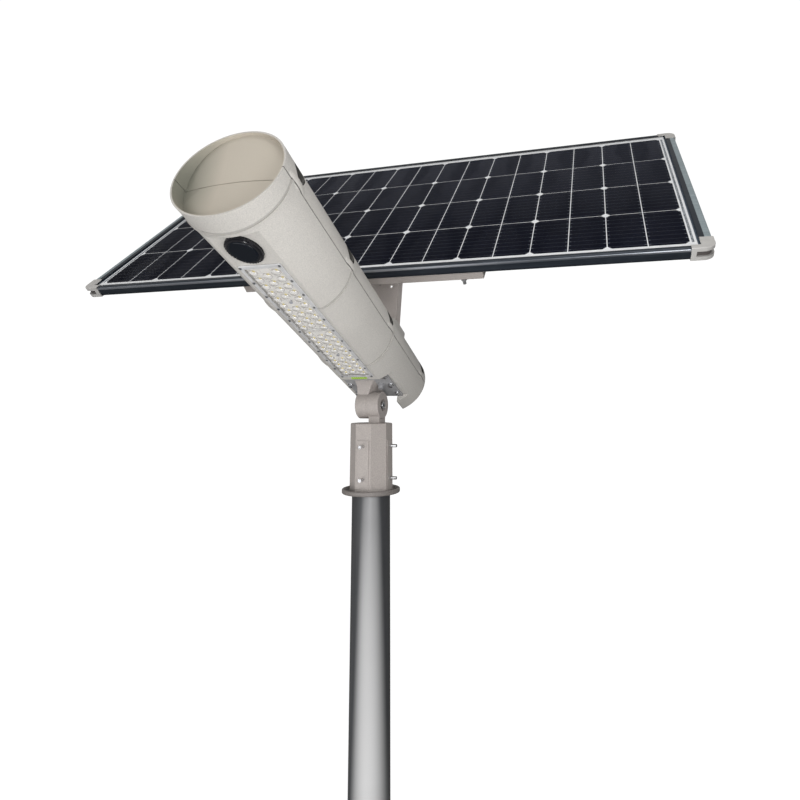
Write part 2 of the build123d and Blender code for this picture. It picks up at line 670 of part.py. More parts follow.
# ---------------------------------------------------------------------------
# Light module: frame, gasket, optics, boards, chips, heat spreader
# ---------------------------------------------------------------------------
LED_MIDDLE = LED_START + LED_LENGTH / 2
FRAME_SCREW_X = LED_HALF_WIDTH - LED_FRAME_BAND / 2
FRAME_SCREWS_PER_SIDE = 11
FRAME_SCREW_PITCH = 39.2
OPTIC_LEVEL = FACET_LEVEL - 1.8
OPTIC_THICKNESS = 2
OPTIC_HALF_WIDTH = 32.8
DOME_HALF_ACROSS = 9
DOME_HALF_ALONG = 7.4
DOME_HEIGHT = 5.5
BOARD_TOP = FACET_LEVEL + WALL
BOARD_THICKNESS = 1.6
CHIP_SIZE = 3.6
CHIP_HEIGHT = 0.7
MODULE_CENTRES = (LED_MIDDLE - 97, LED_MIDDLE + 97)

with BuildPart() as led_gasket:
    with BuildSketch(lamp_level(FACET_LEVEL, s=LED_MIDDLE)):
        Rectangle(2 * LED_HALF_WIDTH - 1, LED_LENGTH - 1)
        RectangleRounded(2 * WINDOW_HALF_WIDTH, LED_LENGTH - 2 * LED_FRAME_BAND - 1, 3, mode=Mode.SUBTRACT)
    extrude(amount=-0.6)
finish(led_gasket, "led_gasket")

with BuildPart() as led_frame:
    with BuildSketch(lamp_level(FACET_LEVEL - 0.6, s=LED_MIDDLE)):
        RectangleRounded(2 * LED_HALF_WIDTH, LED_LENGTH, 2)
        RectangleRounded(2 * WINDOW_HALF_WIDTH, LED_LENGTH - 2 * LED_FRAME_BAND - 1, 3, mode=Mode.SUBTRACT)
    extrude(amount=-2.2)
    outer_rim = led_frame.faces().sort_by(Axis(MOUTH, ABOVE))[0].outer_wire().edges()
    chamfer(outer_rim, 0.8)
    for station_index in range(FRAME_SCREWS_PER_SIDE):
        screw_s = LED_MIDDLE + (station_index - (FRAME_SCREWS_PER_SIDE - 1) / 2) * FRAME_SCREW_PITCH
        with BuildSketch(lamp_level(LED_FRAME_TOP, s=screw_s)):
            with GridLocations(2 * FRAME_SCREW_X, 1, 2, 1):
                Circle(2.6)
        extrude(amount=0.8, mode=Mode.SUBTRACT)
finish(led_frame, "led_frame")

with BuildPart() as led_frame_screws:
    for station_index in range(FRAME_SCREWS_PER_SIDE):
        screw_s = LED_MIDDLE + (station_index - (FRAME_SCREWS_PER_SIDE - 1) / 2) * FRAME_SCREW_PITCH
        with BuildSketch(lamp_level(LED_FRAME_TOP + 0.8, s=screw_s)):
            with GridLocations(2 * FRAME_SCREW_X, 1, 2, 1):
                Circle(2.4)
        extrude(amount=-1.6)
        with BuildSketch(lamp_level(LED_FRAME_TOP - 0.8, s=screw_s)):
            with GridLocations(2 * FRAME_SCREW_X, 1, 2, 1):
                RegularPolygon(1.2, 6)
        extrude(amount=1, mode=Mode.SUBTRACT)
finish(led_frame_screws, "led_frame_screws")


def led_places(centre):
    """Stations of one module's LEDs: two full columns and a staggered middle one."""
    places = []
    for index in range(LEDS_PER_COLUMN):
        station = centre + (index - (LEDS_PER_COLUMN - 1) / 2) * LED_PITCH
        places += [(-LED_COLUMN, station), (LED_COLUMN, station)]
    for index in range(LEDS_PER_COLUMN - 1):
        if index != (LEDS_PER_COLUMN - 1) // 2:
            places.append((0, centre + (index - (LEDS_PER_COLUMN - 2) / 2) * LED_PITCH))
    return places


for module_name, centre in zip(("front", "rear"), MODULE_CENTRES):
    with BuildPart() as optic:
        with BuildSketch(lamp_level(OPTIC_LEVEL, s=centre)):
            RectangleRounded(2 * OPTIC_HALF_WIDTH, MODULE_LENGTH, 2.5)
        extrude(amount=OPTIC_THICKNESS)
        for x, station in led_places(centre):
            with BuildSketch(lamp_level(OPTIC_LEVEL, x, station)):
                Ellipse(DOME_HALF_ACROSS, DOME_HALF_ALONG)
            with BuildSketch(lamp_level(OPTIC_LEVEL - DOME_HEIGHT * 0.6, x, station)):
                Ellipse(DOME_HALF_ACROSS * 0.86, DOME_HALF_ALONG * 0.86)
            with BuildSketch(lamp_level(OPTIC_LEVEL - DOME_HEIGHT, x, station)):
                Ellipse(DOME_HALF_ACROSS * 0.5, DOME_HALF_ALONG * 0.5)
            loft()
        with BuildSketch(lamp_level(OPTIC_LEVEL, s=centre)):
            Circle(1.6)
        extrude(amount=OPTIC_THICKNESS, mode=Mode.SUBTRACT)
    finish(optic, f"optic_{module_name}")

    with BuildPart() as board:
        with BuildSketch(lamp_level(BOARD_TOP, s=centre)):
            Rectangle(2 * OPTIC_HALF_WIDTH - 2, MODULE_LENGTH - 2)
        extrude(amount=-BOARD_THICKNESS)
    finish(board, f"led_board_{module_name}")

with BuildPart() as led_chips:
    for centre in MODULE_CENTRES:
        for x, station in led_places(centre):
            with BuildSketch(lamp_level(BOARD_TOP - BOARD_THICKNESS, x, station)):
                Rectangle(CHIP_SIZE, CHIP_SIZE)
            extrude(amount=-CHIP_HEIGHT)
finish(led_chips, "led_chips")

with BuildPart() as optic_screws:
    for centre in MODULE_CENTRES:
        with BuildSketch(lamp_level(OPTIC_LEVEL, s=centre)):
            Circle(3.2)
        extrude(amount=-1.8)
        with BuildSketch(lamp_level(OPTIC_LEVEL, s=centre)):
            Circle(1.6)
        extrude(amount=BOARD_TOP - BOARD_THICKNESS - OPTIC_LEVEL)
finish(optic_screws, "optic_screws")

SPREADER_BASE = 4
FIN_HEIGHT = 12
FIN_COUNT = 9
with BuildPart() as heat_spreader:
    with BuildSketch(lamp_level(BOARD_TOP, s=LED_MIDDLE)):
        Rectangle(86, LED_LENGTH - 6)
    extrude(amount=SPREADER_BASE)
    with BuildSketch(lamp_level(BOARD_TOP + SPREADER_BASE, s=LED_MIDDLE)):
        with GridLocations(9, 1, FIN_COUNT, 1):
            Rectangle(2, LED_LENGTH - 6)
    extrude(amount=FIN_HEIGHT)
finish(heat_spreader, "heat_spreader")

# Green light strip behind the light module
with BuildPart() as indicator_strip:
    with BuildSketch(lamp_level(FACET_LEVEL, s=LED_START + LED_LENGTH + 9)):
        RectangleRounded(39, 7, 1.5)
    extrude(amount=-1.2)
finish(indicator_strip, "indicator_strip")

# ---------------------------------------------------------------------------
# Motion sensor
# ---------------------------------------------------------------------------
SCALLOPS = 36
LENS_RADIUS = 23.5
with BuildPart() as sensor_ring:
    with BuildSketch(lamp_level(FACET_LEVEL, s=SENSOR_STATION)):
        Circle(SENSOR_RADIUS)
    extrude(amount=-5)
    with BuildSketch(lamp_level(FACET_LEVEL - 5, s=SENSOR_STATION)):
        Circle(SENSOR_RADIUS - 3)
    extrude(amount=-2)
    chamfer(sensor_ring.faces().sort_by(Axis(MOUTH, ABOVE))[0].edges(), 1)
    with BuildSketch(lamp_level(FACET_LEVEL, s=SENSOR_STATION)):
        Circle(LENS_RADIUS + 0.1)
    extrude(amount=-7, mode=Mode.SUBTRACT)
    with BuildSketch(lamp_level(FACET_LEVEL - 0.8, s=SENSOR_STATION)):
        with PolarLocations(SENSOR_RADIUS + 0.4, SCALLOPS):
            Circle(1.5)
    extrude(amount=-5, mode=Mode.SUBTRACT)
finish(sensor_ring, "sensor_ring")

with BuildPart() as sensor_lens:
    with BuildSketch(lamp_level(FACET_LEVEL, s=SENSOR_STATION)):
        Circle(LENS_RADIUS)
    extrude(amount=-8.8)
    fillet(sensor_lens.faces().sort_by(Axis(MOUTH, ABOVE))[0].edges(), 2.5)
finish(sensor_lens, "sensor_lens")

with BuildPart() as sensor_body:
    with BuildSketch(lamp_level(FACET_LEVEL, s=SENSOR_STATION)):
        Circle(SENSOR_HOLE_RADIUS - 0.4)
    extrude(amount=22)
    with BuildSketch(lamp_level(FACET_LEVEL + WALL, s=SENSOR_STATION)):
        RegularPolygon(27, 6)
        Circle(SENSOR_HOLE_RADIUS - 0.4, mode=Mode.SUBTRACT)
    extrude(amount=6)
finish(sensor_body, "sensor_body")

# ---------------------------------------------------------------------------
# Battery and charge controller inside the tube
# ---------------------------------------------------------------------------
CELL_RADIUS = 16.1
CELL_HEIGHT = 70
CELL_STEP = 33
CELLS_ACROSS = 4
CELLS_ALONG = 8
BATTERY_MIDDLE = 300
BATTERY_FLOOR = -38
HOLDER_THICKNESS = 4

with BuildPart() as battery_cells:
    with BuildSketch(lamp_level(BATTERY_FLOOR, s=BATTERY_MIDDLE)):
        with GridLocations(CELL_STEP, CELL_STEP, CELLS_ACROSS, CELLS_ALONG):
            Circle(CELL_RADIUS)
    extrude(amount=CELL_HEIGHT)
finish(battery_cells, "battery_cells")

with BuildPart() as battery_holders:
    for level in (BATTERY_FLOOR - HOLDER_THICKNESS, BATTERY_FLOOR + CELL_HEIGHT):
        with BuildSketch(lamp_level(level, s=BATTERY_MIDDLE)):
            Rectangle(CELLS_ACROSS * CELL_STEP + 2, CELLS_ALONG * CELL_STEP + 2)
            with GridLocations(CELL_STEP, CELL_STEP, CELLS_ACROSS, CELLS_ALONG):
                Circle(10, mode=Mode.SUBTRACT)
        extrude(amount=HOLDER_THICKNESS)
finish(battery_holders, "battery_holders")

with BuildPart() as battery_tray:
    with BuildSketch(lamp_level(BATTERY_FLOOR - HOLDER_THICKNESS - 2, s=BATTERY_MIDDLE)):
        Rectangle(150, CELLS_ALONG * CELL_STEP + 20)
    extrude(amount=2)
    with BuildSketch(lamp_level(BATTERY_FLOOR - HOLDER_THICKNESS, s=BATTERY_MIDDLE)):
        with GridLocations(148, 1, 2, 1):
            Rectangle(2, CELLS_ALONG * CELL_STEP + 20)
    extrude(amount=22)
finish(battery_tray, "battery_tray")

CONTROLLER_MIDDLE = 520
with BuildPart() as controller_case:
    with BuildSketch(lamp_level(BATTERY_FLOOR - HOLDER_THICKNESS - 2, s=CONTROLLER_MIDDLE)):
        RectangleRounded(90, 120, 6)
    extrude(amount=34)
    fillet(controller_case.faces().sort_by(Axis(MOUTH, ABOVE))[-1].edges(), 3)
    with BuildSketch(lamp_level(BATTERY_FLOOR + 8, s=CONTROLLER_MIDDLE - 46)):
        Rectangle(64, 20)
    extrude(amount=30, mode=Mode.SUBTRACT)
finish(controller_case, "controller_case")

with BuildPart() as controller_terminals:
    with BuildSketch(lamp_level(BATTERY_FLOOR + 8, s=CONTROLLER_MIDDLE - 46)):
        Rectangle(60, 16)
    extrude(amount=11)
    with BuildSketch(lamp_level(BATTERY_FLOOR + 19, s=CONTROLLER_MIDDLE - 46)):
        with GridLocations(9.5, 1, 6, 1):
            Circle(3)
    extrude(amount=-3, mode=Mode.SUBTRACT)
finish(controller_terminals, "controller_terminals")

# ---------------------------------------------------------------------------
# Post from the lamp's seat up to the panel's beam
# ---------------------------------------------------------------------------
RAIL_DEPTH = 20
RAIL_BACK = FRAME_BACK - RAIL_DEPTH
BEAM_DEPTH = 36
BEAM_HALF_WIDTH = POST_HALF_WIDTH - POST_SHEET - 1
BEAM_SHEET = 3
HINGE_H = RAIL_BACK - 20
HINGE_RADIUS = 5
FOOT_DEPTH = 46
POST_BELOW_FOOT = 60
WEB_BELOW_HINGE = 40


def up_post(distance, back=0):
    """A point in the middle plane, up the post from its foot and behind its centre line."""
    return POST_FOOT + POST_UP * distance + POST_BACK * back


# The hinge is where the post's line meets the beam's pivot height under the panel
foot_from_grid = POST_FOOT - GRID
post_length = (HINGE_H - foot_from_grid.dot(FACING)) / POST_UP.dot(FACING)
HINGE = up_post(post_length)
HINGE_U = (HINGE - GRID).dot(UPSLOPE)


def hinge_side(x):
    """Plane across the hinge pin at one x: sketch x square to the post, y up the post."""
    return Plane(origin=HINGE + Vector(x, 0, 0), x_dir=POST_BACK, z_dir=(1, 0, 0))


with BuildPart() as post:
    # Three walls of the folded channel, open to the rear
    with BuildSketch(Plane(origin=up_post(-POST_BELOW_FOOT), x_dir=(1, 0, 0), z_dir=POST_UP)):
        Rectangle(2 * POST_HALF_WIDTH, POST_DEPTH)
        with Locations((0, POST_SHEET)):
            Rectangle(2 * (POST_HALF_WIDTH - POST_SHEET), POST_DEPTH, mode=Mode.SUBTRACT)
    extrude(amount=post_length + POST_BELOW_FOOT)
    # Round ears at the hinge, and no web between them
    with BuildSketch(hinge_side(-POST_HALF_WIDTH)):
        Circle(POST_DEPTH / 2)
    extrude(amount=2 * POST_HALF_WIDTH)
    with BuildSketch(hinge_side(POST_SHEET - POST_HALF_WIDTH)):
        with Locations((0, 10)):
            Rectangle(60, 2 * (WEB_BELOW_HINGE + 10))
    extrude(amount=2 * (POST_HALF_WIDTH - POST_SHEET), mode=Mode.SUBTRACT)
    with BuildSketch(hinge_side(-POST_HALF_WIDTH)):
        Circle(HINGE_RADIUS + 0.05)
    extrude(amount=2 * POST_HALF_WIDTH, mode=Mode.SUBTRACT)
    # Cut square to the lamp's seat, with a foot flange on it
    split(bisect_by=lamp_level(BOSS_LEVEL), keep=Keep.TOP)
    with BuildSketch(lamp_level(BOSS_LEVEL, s=POST_STATION + 6)):
        RectangleRounded(2 * (POST_HALF_WIDTH - POST_SHEET), FOOT_DEPTH, 3)
    extrude(amount=POST_SHEET)
    with BuildSketch(lamp_level(BOSS_LEVEL, s=POST_STATION + 8)):
        with GridLocations(60, 20, 2, 2):
            Circle(3)
    extrude(amount=POST_SHEET, mode=Mode.SUBTRACT)
    # Cable hole in each side of the web
    with BuildSketch(Plane(origin=up_post(92, -POST_DEPTH), x_dir=(1, 0, 0), z_dir=POST_BACK)):
        with GridLocations(57, 1, 2, 1):
            Circle(3.2)
    extrude(amount=POST_DEPTH, mode=Mode.SUBTRACT)
finish(post, "post")

with BuildPart() as foot_bolts:
    with BuildSketch(lamp_level(BOSS_LEVEL + POST_SHEET, s=POST_STATION + 8)):
        with GridLocations(60, 20, 2, 2):
            RegularPolygon(5.6, 6)
    extrude(amount=4)
    with BuildSketch(lamp_level(BOSS_LEVEL + POST_SHEET, s=POST_STATION + 8)):
        with GridLocations(60, 20, 2, 2):
            Circle(3)
    extrude(amount=-15)
finish(foot_bolts, "foot_bolts")

with BuildPart() as hinge_bolt:
    with BuildSketch(hinge_side(-POST_HALF_WIDTH - 12)):
        Circle(HINGE_RADIUS)
    extrude(amount=2 * POST_HALF_WIDTH + 12)
    with BuildSketch(hinge_side(POST_HALF_WIDTH)):
        RegularPolygon(9.2, 6)
    extrude(amount=6.5)
finish(hinge_bolt, "hinge_bolt")

with BuildPart() as hinge_nut:
    with BuildSketch(hinge_side(-POST_HALF_WIDTH)):
        RegularPolygon(9.2, 6)
        Circle(HINGE_RADIUS, mode=Mode.SUBTRACT)
    extrude(amount=-8)
finish(hinge_nut, "hinge_nut")

# ---------------------------------------------------------------------------
# Beam and rails under the panel
# ---------------------------------------------------------------------------
RAIL_HALF_LENGTH = 300
RAIL_WIDTH = 40
RAIL_SHEET = 2.5
NEAR_RAIL_U = 0
FAR_RAIL_U = GRID_HEIGHT - 4
BEAM_NEAR = 4
BEAM_FAR = FAR_RAIL_U + 16
RAIL_BOLT_X = 252

with BuildPart() as beam:
    with BuildSketch(panel_cross(BEAM_NEAR)):
        with Locations((0, RAIL_BACK - BEAM_DEPTH / 2)):
            Rectangle(2 * BEAM_HALF_WIDTH, BEAM_DEPTH)
        with Locations((0, RAIL_BACK - BEAM_DEPTH / 2 - BEAM_SHEET)):
            Rectangle(2 * (BEAM_HALF_WIDTH - BEAM_SHEET), BEAM_DEPTH, mode=Mode.SUBTRACT)
    extrude(amount=BEAM_NEAR - BEAM_FAR)
    # The flanges taper off towards the near rail, clear of the post's web
    with BuildSketch(panel_side(-BEAM_HALF_WIDTH - 1)):
        with BuildLine():
            Polyline(
                (BEAM_NEAR - 5, RAIL_BACK - BEAM_DEPTH - 5),
                (BEAM_NEAR - 5, RAIL_BACK - 16),
                (HINGE_U - 50, RAIL_BACK - 16),
                (HINGE_U - 14, RAIL_BACK - BEAM_DEPTH - 5),
                close=True,
            )
        make_face()
    extrude(amount=2 * (BEAM_HALF_WIDTH + 1), mode=Mode.SUBTRACT)
    with BuildSketch(hinge_side(-POST_HALF_WIDTH)):
        Circle(HINGE_RADIUS + 0.05)
    extrude(amount=2 * POST_HALF_WIDTH, mode=Mode.SUBTRACT)
    for rail_u in (NEAR_RAIL_U + 12, FAR_RAIL_U):
        with BuildSketch(panel_level(RAIL_BACK, 0, rail_u)):
            with GridLocations(50, 1, 2, 1):
                Circle(3)
        extrude(amount=-BEAM_SHEET, mode=Mode.SUBTRACT)
finish(beam, "beam")

for rail_name, rail_u in (("rail_near", NEAR_RAIL_U), ("rail_far", FAR_RAIL_U)):
    with BuildPart() as rail:
        with BuildSketch(panel_side(-RAIL_HALF_LENGTH)):
            with Locations((rail_u, (FRAME_BACK + RAIL_BACK) / 2)):
                RectangleRounded(RAIL_WIDTH, RAIL_DEPTH, 2)
                Rectangle(RAIL_WIDTH - 2 * RAIL_SHEET, RAIL_DEPTH - 2 * RAIL_SHEET, mode=Mode.SUBTRACT)
            with Locations((rail_u, FRAME_BACK)):
                Rectangle(RAIL_WIDTH - 26, RAIL_DEPTH / 2, mode=Mode.SUBTRACT)
        extrude(amount=2 * RAIL_HALF_LENGTH)
    finish(rail, rail_name)

with BuildPart() as rail_bolts:
    for rail_u in (NEAR_RAIL_U - 9, FAR_RAIL_U + 9):
        with BuildSketch(panel_level(RAIL_BACK, 0, rail_u)):
            with GridLocations(2 * RAIL_BOLT_X, 1, 2, 1):
                RegularPolygon(7, 6)
        extrude(amount=-6.5)
        with BuildSketch(panel_level(RAIL_BACK - 6.5, 0, rail_u)):
            with GridLocations(2 * RAIL_BOLT_X, 1, 2, 1):
                Circle(4)
        extrude(amount=-9.5)
    for rail_u in (NEAR_RAIL_U + 12, FAR_RAIL_U):
        with BuildSketch(panel_level(RAIL_BACK - BEAM_SHEET, 0, rail_u)):
            with GridLocations(50, 1, 2, 1):
                RegularPolygon(5.6, 6)
        extrude(amount=-4)
        with BuildSketch(panel_level(RAIL_BACK, 0, rail_u)):
            with GridLocations(50, 1, 2, 1):
                Circle(3)
        extrude(amount=-BEAM_SHEET)
finish(rail_bolts, "rail_bolts")

# ---------------------------------------------------------------------------
# Panel: frame rails, corner caps, glass, cells, backsheet, junction box
# ---------------------------------------------------------------------------
GLASS_THICKNESS = 3.2
GLASS_INSET = 4
GLASS_LENGTH = 2 * (FRAME_HALF_LENGTH - GLASS_INSET)
GLASS_HEIGHT = FRAME_FAR - FRAME_NEAR - 2 * GLASS_INSET
GLASS_CORNER = 12
LONG_LIP = 13
SHORT_LIP = 25
LIP_LEDGE = 13


def frame_section(lip):
    """Section of a frame rail: distance in from the outer face, height out of the cell plane."""
    return (
        (0, FRAME_TOP),
        (LIP_LEDGE - 1, FRAME_TOP),
        (lip, FRAME_TOP - 1.0),
        (lip, GLASS_THICKNESS + 0.1),
        (FRAME_WALL, GLASS_THICKNESS + 0.1),
        (FRAME_WALL, -1.2),
        (LIP_LEDGE, -1.2),
        (LIP_LEDGE, -2.4),
        (FRAME_WALL, -2.4),
        (FRAME_WALL, FRAME_BACK + 2),
        (24, FRAME_BACK + 2),
        (24, FRAME_BACK),
        (0, FRAME_BACK),
    )


LONG_RAIL_HALF = FRAME_HALF_LENGTH - CAP_SIZE + 4
SHORT_RAIL_LENGTH = FRAME_FAR - FRAME_NEAR - 2 * CAP_SIZE + 8
SLOPE_MIDDLE = (FRAME_FAR + FRAME_NEAR) / 2

for rail_name, outer, inward in (("frame_near", FRAME_NEAR, 1), ("frame_far", FRAME_FAR, -1)):
    with BuildPart() as frame_rail:
        with BuildSketch(panel_side(-LONG_RAIL_HALF)) as section:
            with BuildLine():
                Polyline([(outer + inward * d, h) for d, h in frame_section(LONG_LIP)], close=True)
            make_face()
            fillet(section.vertices().group_by(Axis.X)[0 if inward > 0 else -1], 5)
            for groove in (-4, -15):
                with Locations((outer, groove)):
                    Rectangle(1.4, 1.2, mode=Mode.SUBTRACT)
        extrude(amount=2 * LONG_RAIL_HALF)
    finish(frame_rail, rail_name)

for rail_name, side in (("frame_left", -1), ("frame_right", 1)):
    with BuildPart() as frame_rail:
        with BuildSketch(panel_cross(SLOPE_MIDDLE - SHORT_RAIL_LENGTH / 2)) as section:
            with BuildLine():
                Polyline([(side * (FRAME_HALF_LENGTH - d), h) for d, h in frame_section(SHORT_LIP)], close=True)
            make_face()
            fillet(section.vertices().group_by(Axis.X)[0 if side < 0 else -1], 5)
        extrude(amount=-SHORT_RAIL_LENGTH)
    finish(frame_rail, rail_name)

CAP_OVER = 2
CAP_RADIUS = 22
CAP_RECESS = 5
CAP_RECESS_REACH = 36
cap_places = (
    ("cap_near_left", -1, -1),
    ("cap_near_right", 1, -1),
    ("cap_far_left", -1, 1),
    ("cap_far_right", 1, 1),
)
for cap_name, side, end in cap_places:
    corner_x = side * (FRAME_HALF_LENGTH + CAP_OVER)
    corner_u = SLOPE_MIDDLE + end * (SLOPE_MIDDLE - FRAME_NEAR + CAP_OVER)
    with BuildPart() as cap:
        with BuildSketch(panel_level(FRAME_BACK - 1, corner_x, corner_u)) as outline:
            with BuildLine():
                Polyline(
                    (0, 0),
                    (-side * CAP_SIZE, 0),
                    (-side * CAP_SIZE, -end * (LONG_LIP + CAP_OVER)),
                    (-side * (SHORT_LIP + CAP_OVER), -end * (LONG_LIP + CAP_OVER)),
                    (-side * (SHORT_LIP + CAP_OVER), -end * CAP_SIZE),
                    (0, -end * CAP_SIZE),
                    close=True,
                )
            make_face()
            fillet(outline.vertices().sort_by_distance((0, 0))[0], CAP_RADIUS)
        extrude(amount=FRAME_DEPTH + 2)
        fillet(cap.faces().sort_by(Axis(GRID, FACING))[-1].edges().filter_by(GeomType.CIRCLE), 1.5)
        # Sockets for the ends of the frame rails
        with BuildSketch(panel_level(FRAME_BACK - 0.05, corner_x, corner_u)):
            with Locations((-side * CAP_SIZE, -end * (CAP_OVER + 15))):
                Rectangle(8.1, 30.1)
            with Locations((-side * (CAP_OVER + 15), -end * CAP_SIZE)):
                Rectangle(30.1, 8.1)
        extrude(amount=FRAME_DEPTH + 0.1, mode=Mode.SUBTRACT)
        # Slot for the corner of the glass and its backsheet
        with BuildSketch(panel_level(-1, 0, SLOPE_MIDDLE)):
            RectangleRounded(GLASS_LENGTH + 0.2, GLASS_HEIGHT + 0.2, GLASS_CORNER)
        extrude(amount=GLASS_THICKNESS + 1.1, mode=Mode.SUBTRACT)
        # Oblong recess round the outer corner
        recess_middle = FRAME_BACK + FRAME_DEPTH / 2
        with BuildSketch(panel_level(recess_middle - 5.5, corner_x, corner_u)):
            with Locations((-side * (CAP_RECESS_REACH / 2 - 1), -end * (CAP_RECESS_REACH / 2 - 1))):
                Rectangle(CAP_RECESS_REACH + 2, CAP_RECESS_REACH + 2)
            with Locations((-side * (CAP_RECESS + 30), -end * (CAP_RECESS + 30))):
                RectangleRounded(60, 60, CAP_RADIUS - CAP_RECESS, mode=Mode.SUBTRACT)
        extrude(amount=11, mode=Mode.SUBTRACT)
    finish(cap, cap_name)

with BuildPart() as panel_glass:
    with BuildSketch(panel_level(0, 0, SLOPE_MIDDLE)):
        RectangleRounded(GLASS_LENGTH, GLASS_HEIGHT, GLASS_CORNER)
    extrude(amount=GLASS_THICKNESS)
finish(panel_glass, "panel_glass")

CELL_THICKNESS = 0.2
CELL_CHAMFER = 9
with BuildPart() as solar_cells:
    with BuildSketch(panel_level(-CELL_THICKNESS)):
        for column in range(HALF_COLUMNS):
            first_half = column % 2 == 0
            outer_x = (CELL_PITCH - CELL_GAP) / 2 * (-1 if first_half else 1)
            outer_y = CELL_PITCH - CELL_GAP / 2
            cut = CELL_CHAMFER if first_half else -CELL_CHAMFER
            for row in range(ROWS):
                centre_x = (column - (HALF_COLUMNS - 1) / 2) * CELL_PITCH
                centre_u = (2 * row + 1) * CELL_PITCH
                with Locations((centre_x, centre_u)):
                    Polygon(
                        (outer_x + cut, -outer_y),
                        (-outer_x, -outer_y),
                        (-outer_x, outer_y),
                        (outer_x + cut, outer_y),
                        (outer_x, outer_y - CELL_CHAMFER),
                        (outer_x, CELL_CHAMFER - outer_y),
                        align=None,
                    )
    extrude(amount=CELL_THICKNESS)
finish(solar_cells, "solar_cells")

with BuildPart() as backsheet:
    with BuildSketch(panel_level(-CELL_THICKNESS, 0, SLOPE_MIDDLE)):
        RectangleRounded(GLASS_LENGTH, GLASS_HEIGHT, GLASS_CORNER)
    extrude(amount=-0.6)
finish(backsheet, "backsheet")

# Collector ribbons along both short ends of the grid
RIBBON_X = GRID_LENGTH / 2 + 5
with BuildPart() as end_ribbons:
    with BuildSketch(panel_level(-CELL_THICKNESS, 0, GRID_HEIGHT / 2)):
        with GridLocations(2 * RIBBON_X, 1, 2, 1):
            Rectangle(5, GRID_HEIGHT - 12)
    extrude(amount=CELL_THICKNESS)
finish(end_ribbons, "end_ribbons")

BOX_U = 540
with BuildPart() as junction_box:
    with BuildSketch(panel_level(-CELL_THICKNESS - 0.6, 0, BOX_U)):
        RectangleRounded(110, 90, 8)
    extrude(amount=-18, taper=4)
    fillet(junction_box.faces().sort_by(Axis(GRID, FACING))[0].edges(), 2)
    # Flats under the cable glands
    with BuildSketch(panel_cross(BOX_U - 44)):
        with Locations((-28, -11), (28, -11)):
            Circle(7)
    extrude(amount=5, mode=Mode.SUBTRACT)
finish(junction_box, "junction_box")

with BuildPart() as junction_glands:
    with BuildSketch(panel_cross(BOX_U - 44)):
        with Locations((-28, -11), (28, -11)):
            Circle(7)
    extrude(amount=18)
    with BuildSketch(panel_cross(BOX_U - 44 - 18)):
        with Locations((-28, -11), (28, -11)):
            Circle(3)
    extrude(amount=-18, mode=Mode.SUBTRACT)
finish(junction_glands, "junction_glands")
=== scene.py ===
import json
from math import cos, pi, radians, sin

import bpy
from mathutils import Euler, Matrix, Vector

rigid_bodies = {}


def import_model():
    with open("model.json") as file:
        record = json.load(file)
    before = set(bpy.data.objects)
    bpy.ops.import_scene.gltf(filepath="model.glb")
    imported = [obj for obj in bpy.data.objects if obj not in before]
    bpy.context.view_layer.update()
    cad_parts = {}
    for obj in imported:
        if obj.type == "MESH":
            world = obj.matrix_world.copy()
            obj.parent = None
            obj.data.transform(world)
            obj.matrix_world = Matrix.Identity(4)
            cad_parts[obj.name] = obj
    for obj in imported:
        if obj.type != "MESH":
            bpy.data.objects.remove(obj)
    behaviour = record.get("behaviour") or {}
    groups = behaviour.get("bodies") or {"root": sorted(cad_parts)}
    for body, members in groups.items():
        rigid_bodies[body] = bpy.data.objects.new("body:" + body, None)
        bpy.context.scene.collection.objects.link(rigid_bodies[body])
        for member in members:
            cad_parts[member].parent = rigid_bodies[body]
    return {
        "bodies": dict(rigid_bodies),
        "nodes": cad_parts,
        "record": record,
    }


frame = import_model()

NODES = frame["nodes"]
KEEP = set(NODES.values()) | set(frame["bodies"].values())
for stray in [o for o in bpy.data.objects if o not in KEEP]:
    bpy.data.objects.remove(stray)
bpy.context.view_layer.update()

# ---------------------------------------------------------------------------
# Frames of reference of the two tilted assemblies, in metres
# ---------------------------------------------------------------------------
LAMP_TILT = radians(24.2)
PANEL_TILT = radians(44.1)
PIVOT_Z = 0.9785
MOUTH_AHEAD = 0.618
AXIS_ABOVE_PIVOT = 0.1069
ALONG = Vector((0, cos(LAMP_TILT), -sin(LAMP_TILT)))
ABOVE = Vector((0, sin(LAMP_TILT), cos(LAMP_TILT)))
MOUTH = Vector((0, 0, PIVOT_Z)) - ALONG * MOUTH_AHEAD + ABOVE * AXIS_ABOVE_PIVOT
GRID = Vector((0, -0.092, 1.300))

# Places on the lamp's tube, in its own frame of reference
SEAM_LEVEL = -0.0025
SEAM_HALF_WIDTH = 0.0008
RING_STATIONS = (0.0246, 0.2396, 0.4596)
RING_RAKE = radians(8.6)
RING_FRONT = 0.0020
# Width of the painted shadow in front of each ring
RING_SHADOW_WIDTH = 0.0028
BORE_ACROSS = 0.0928
BORE_UP = 0.0851
RECESS_END = 0.029
POCKET_STATIONS = (0.0430, 0.232, 0.446, 0.682)
POCKET_SIDE = 0.0885
POCKET_ACROSS = 0.0077
POCKET_ALONG = 0.0152
POCKET_FLOOR = 0.0078
SENSOR_STATION = 0.081
TRACK_LENGTH = 0.019
TRACK_WIDTH = 0.011

# Places on the panel, in its own frame of reference
CELL_PITCH = 0.0804
BUSBARS = 9
FINGER_PITCH = 0.0016
HEM_START = 0.7360
OUTER_BAND = 0.7500
NEAR_FACE = -0.0270
CAP_GROOVE = (-0.0134, -0.0026)
CAP_GROOVE_SIDE = 0.7630
CAP_GROOVE_SLOPE = (-0.0278, 0.6710)

SHEEN_END = 0.76
FLOOR_HALF = 30


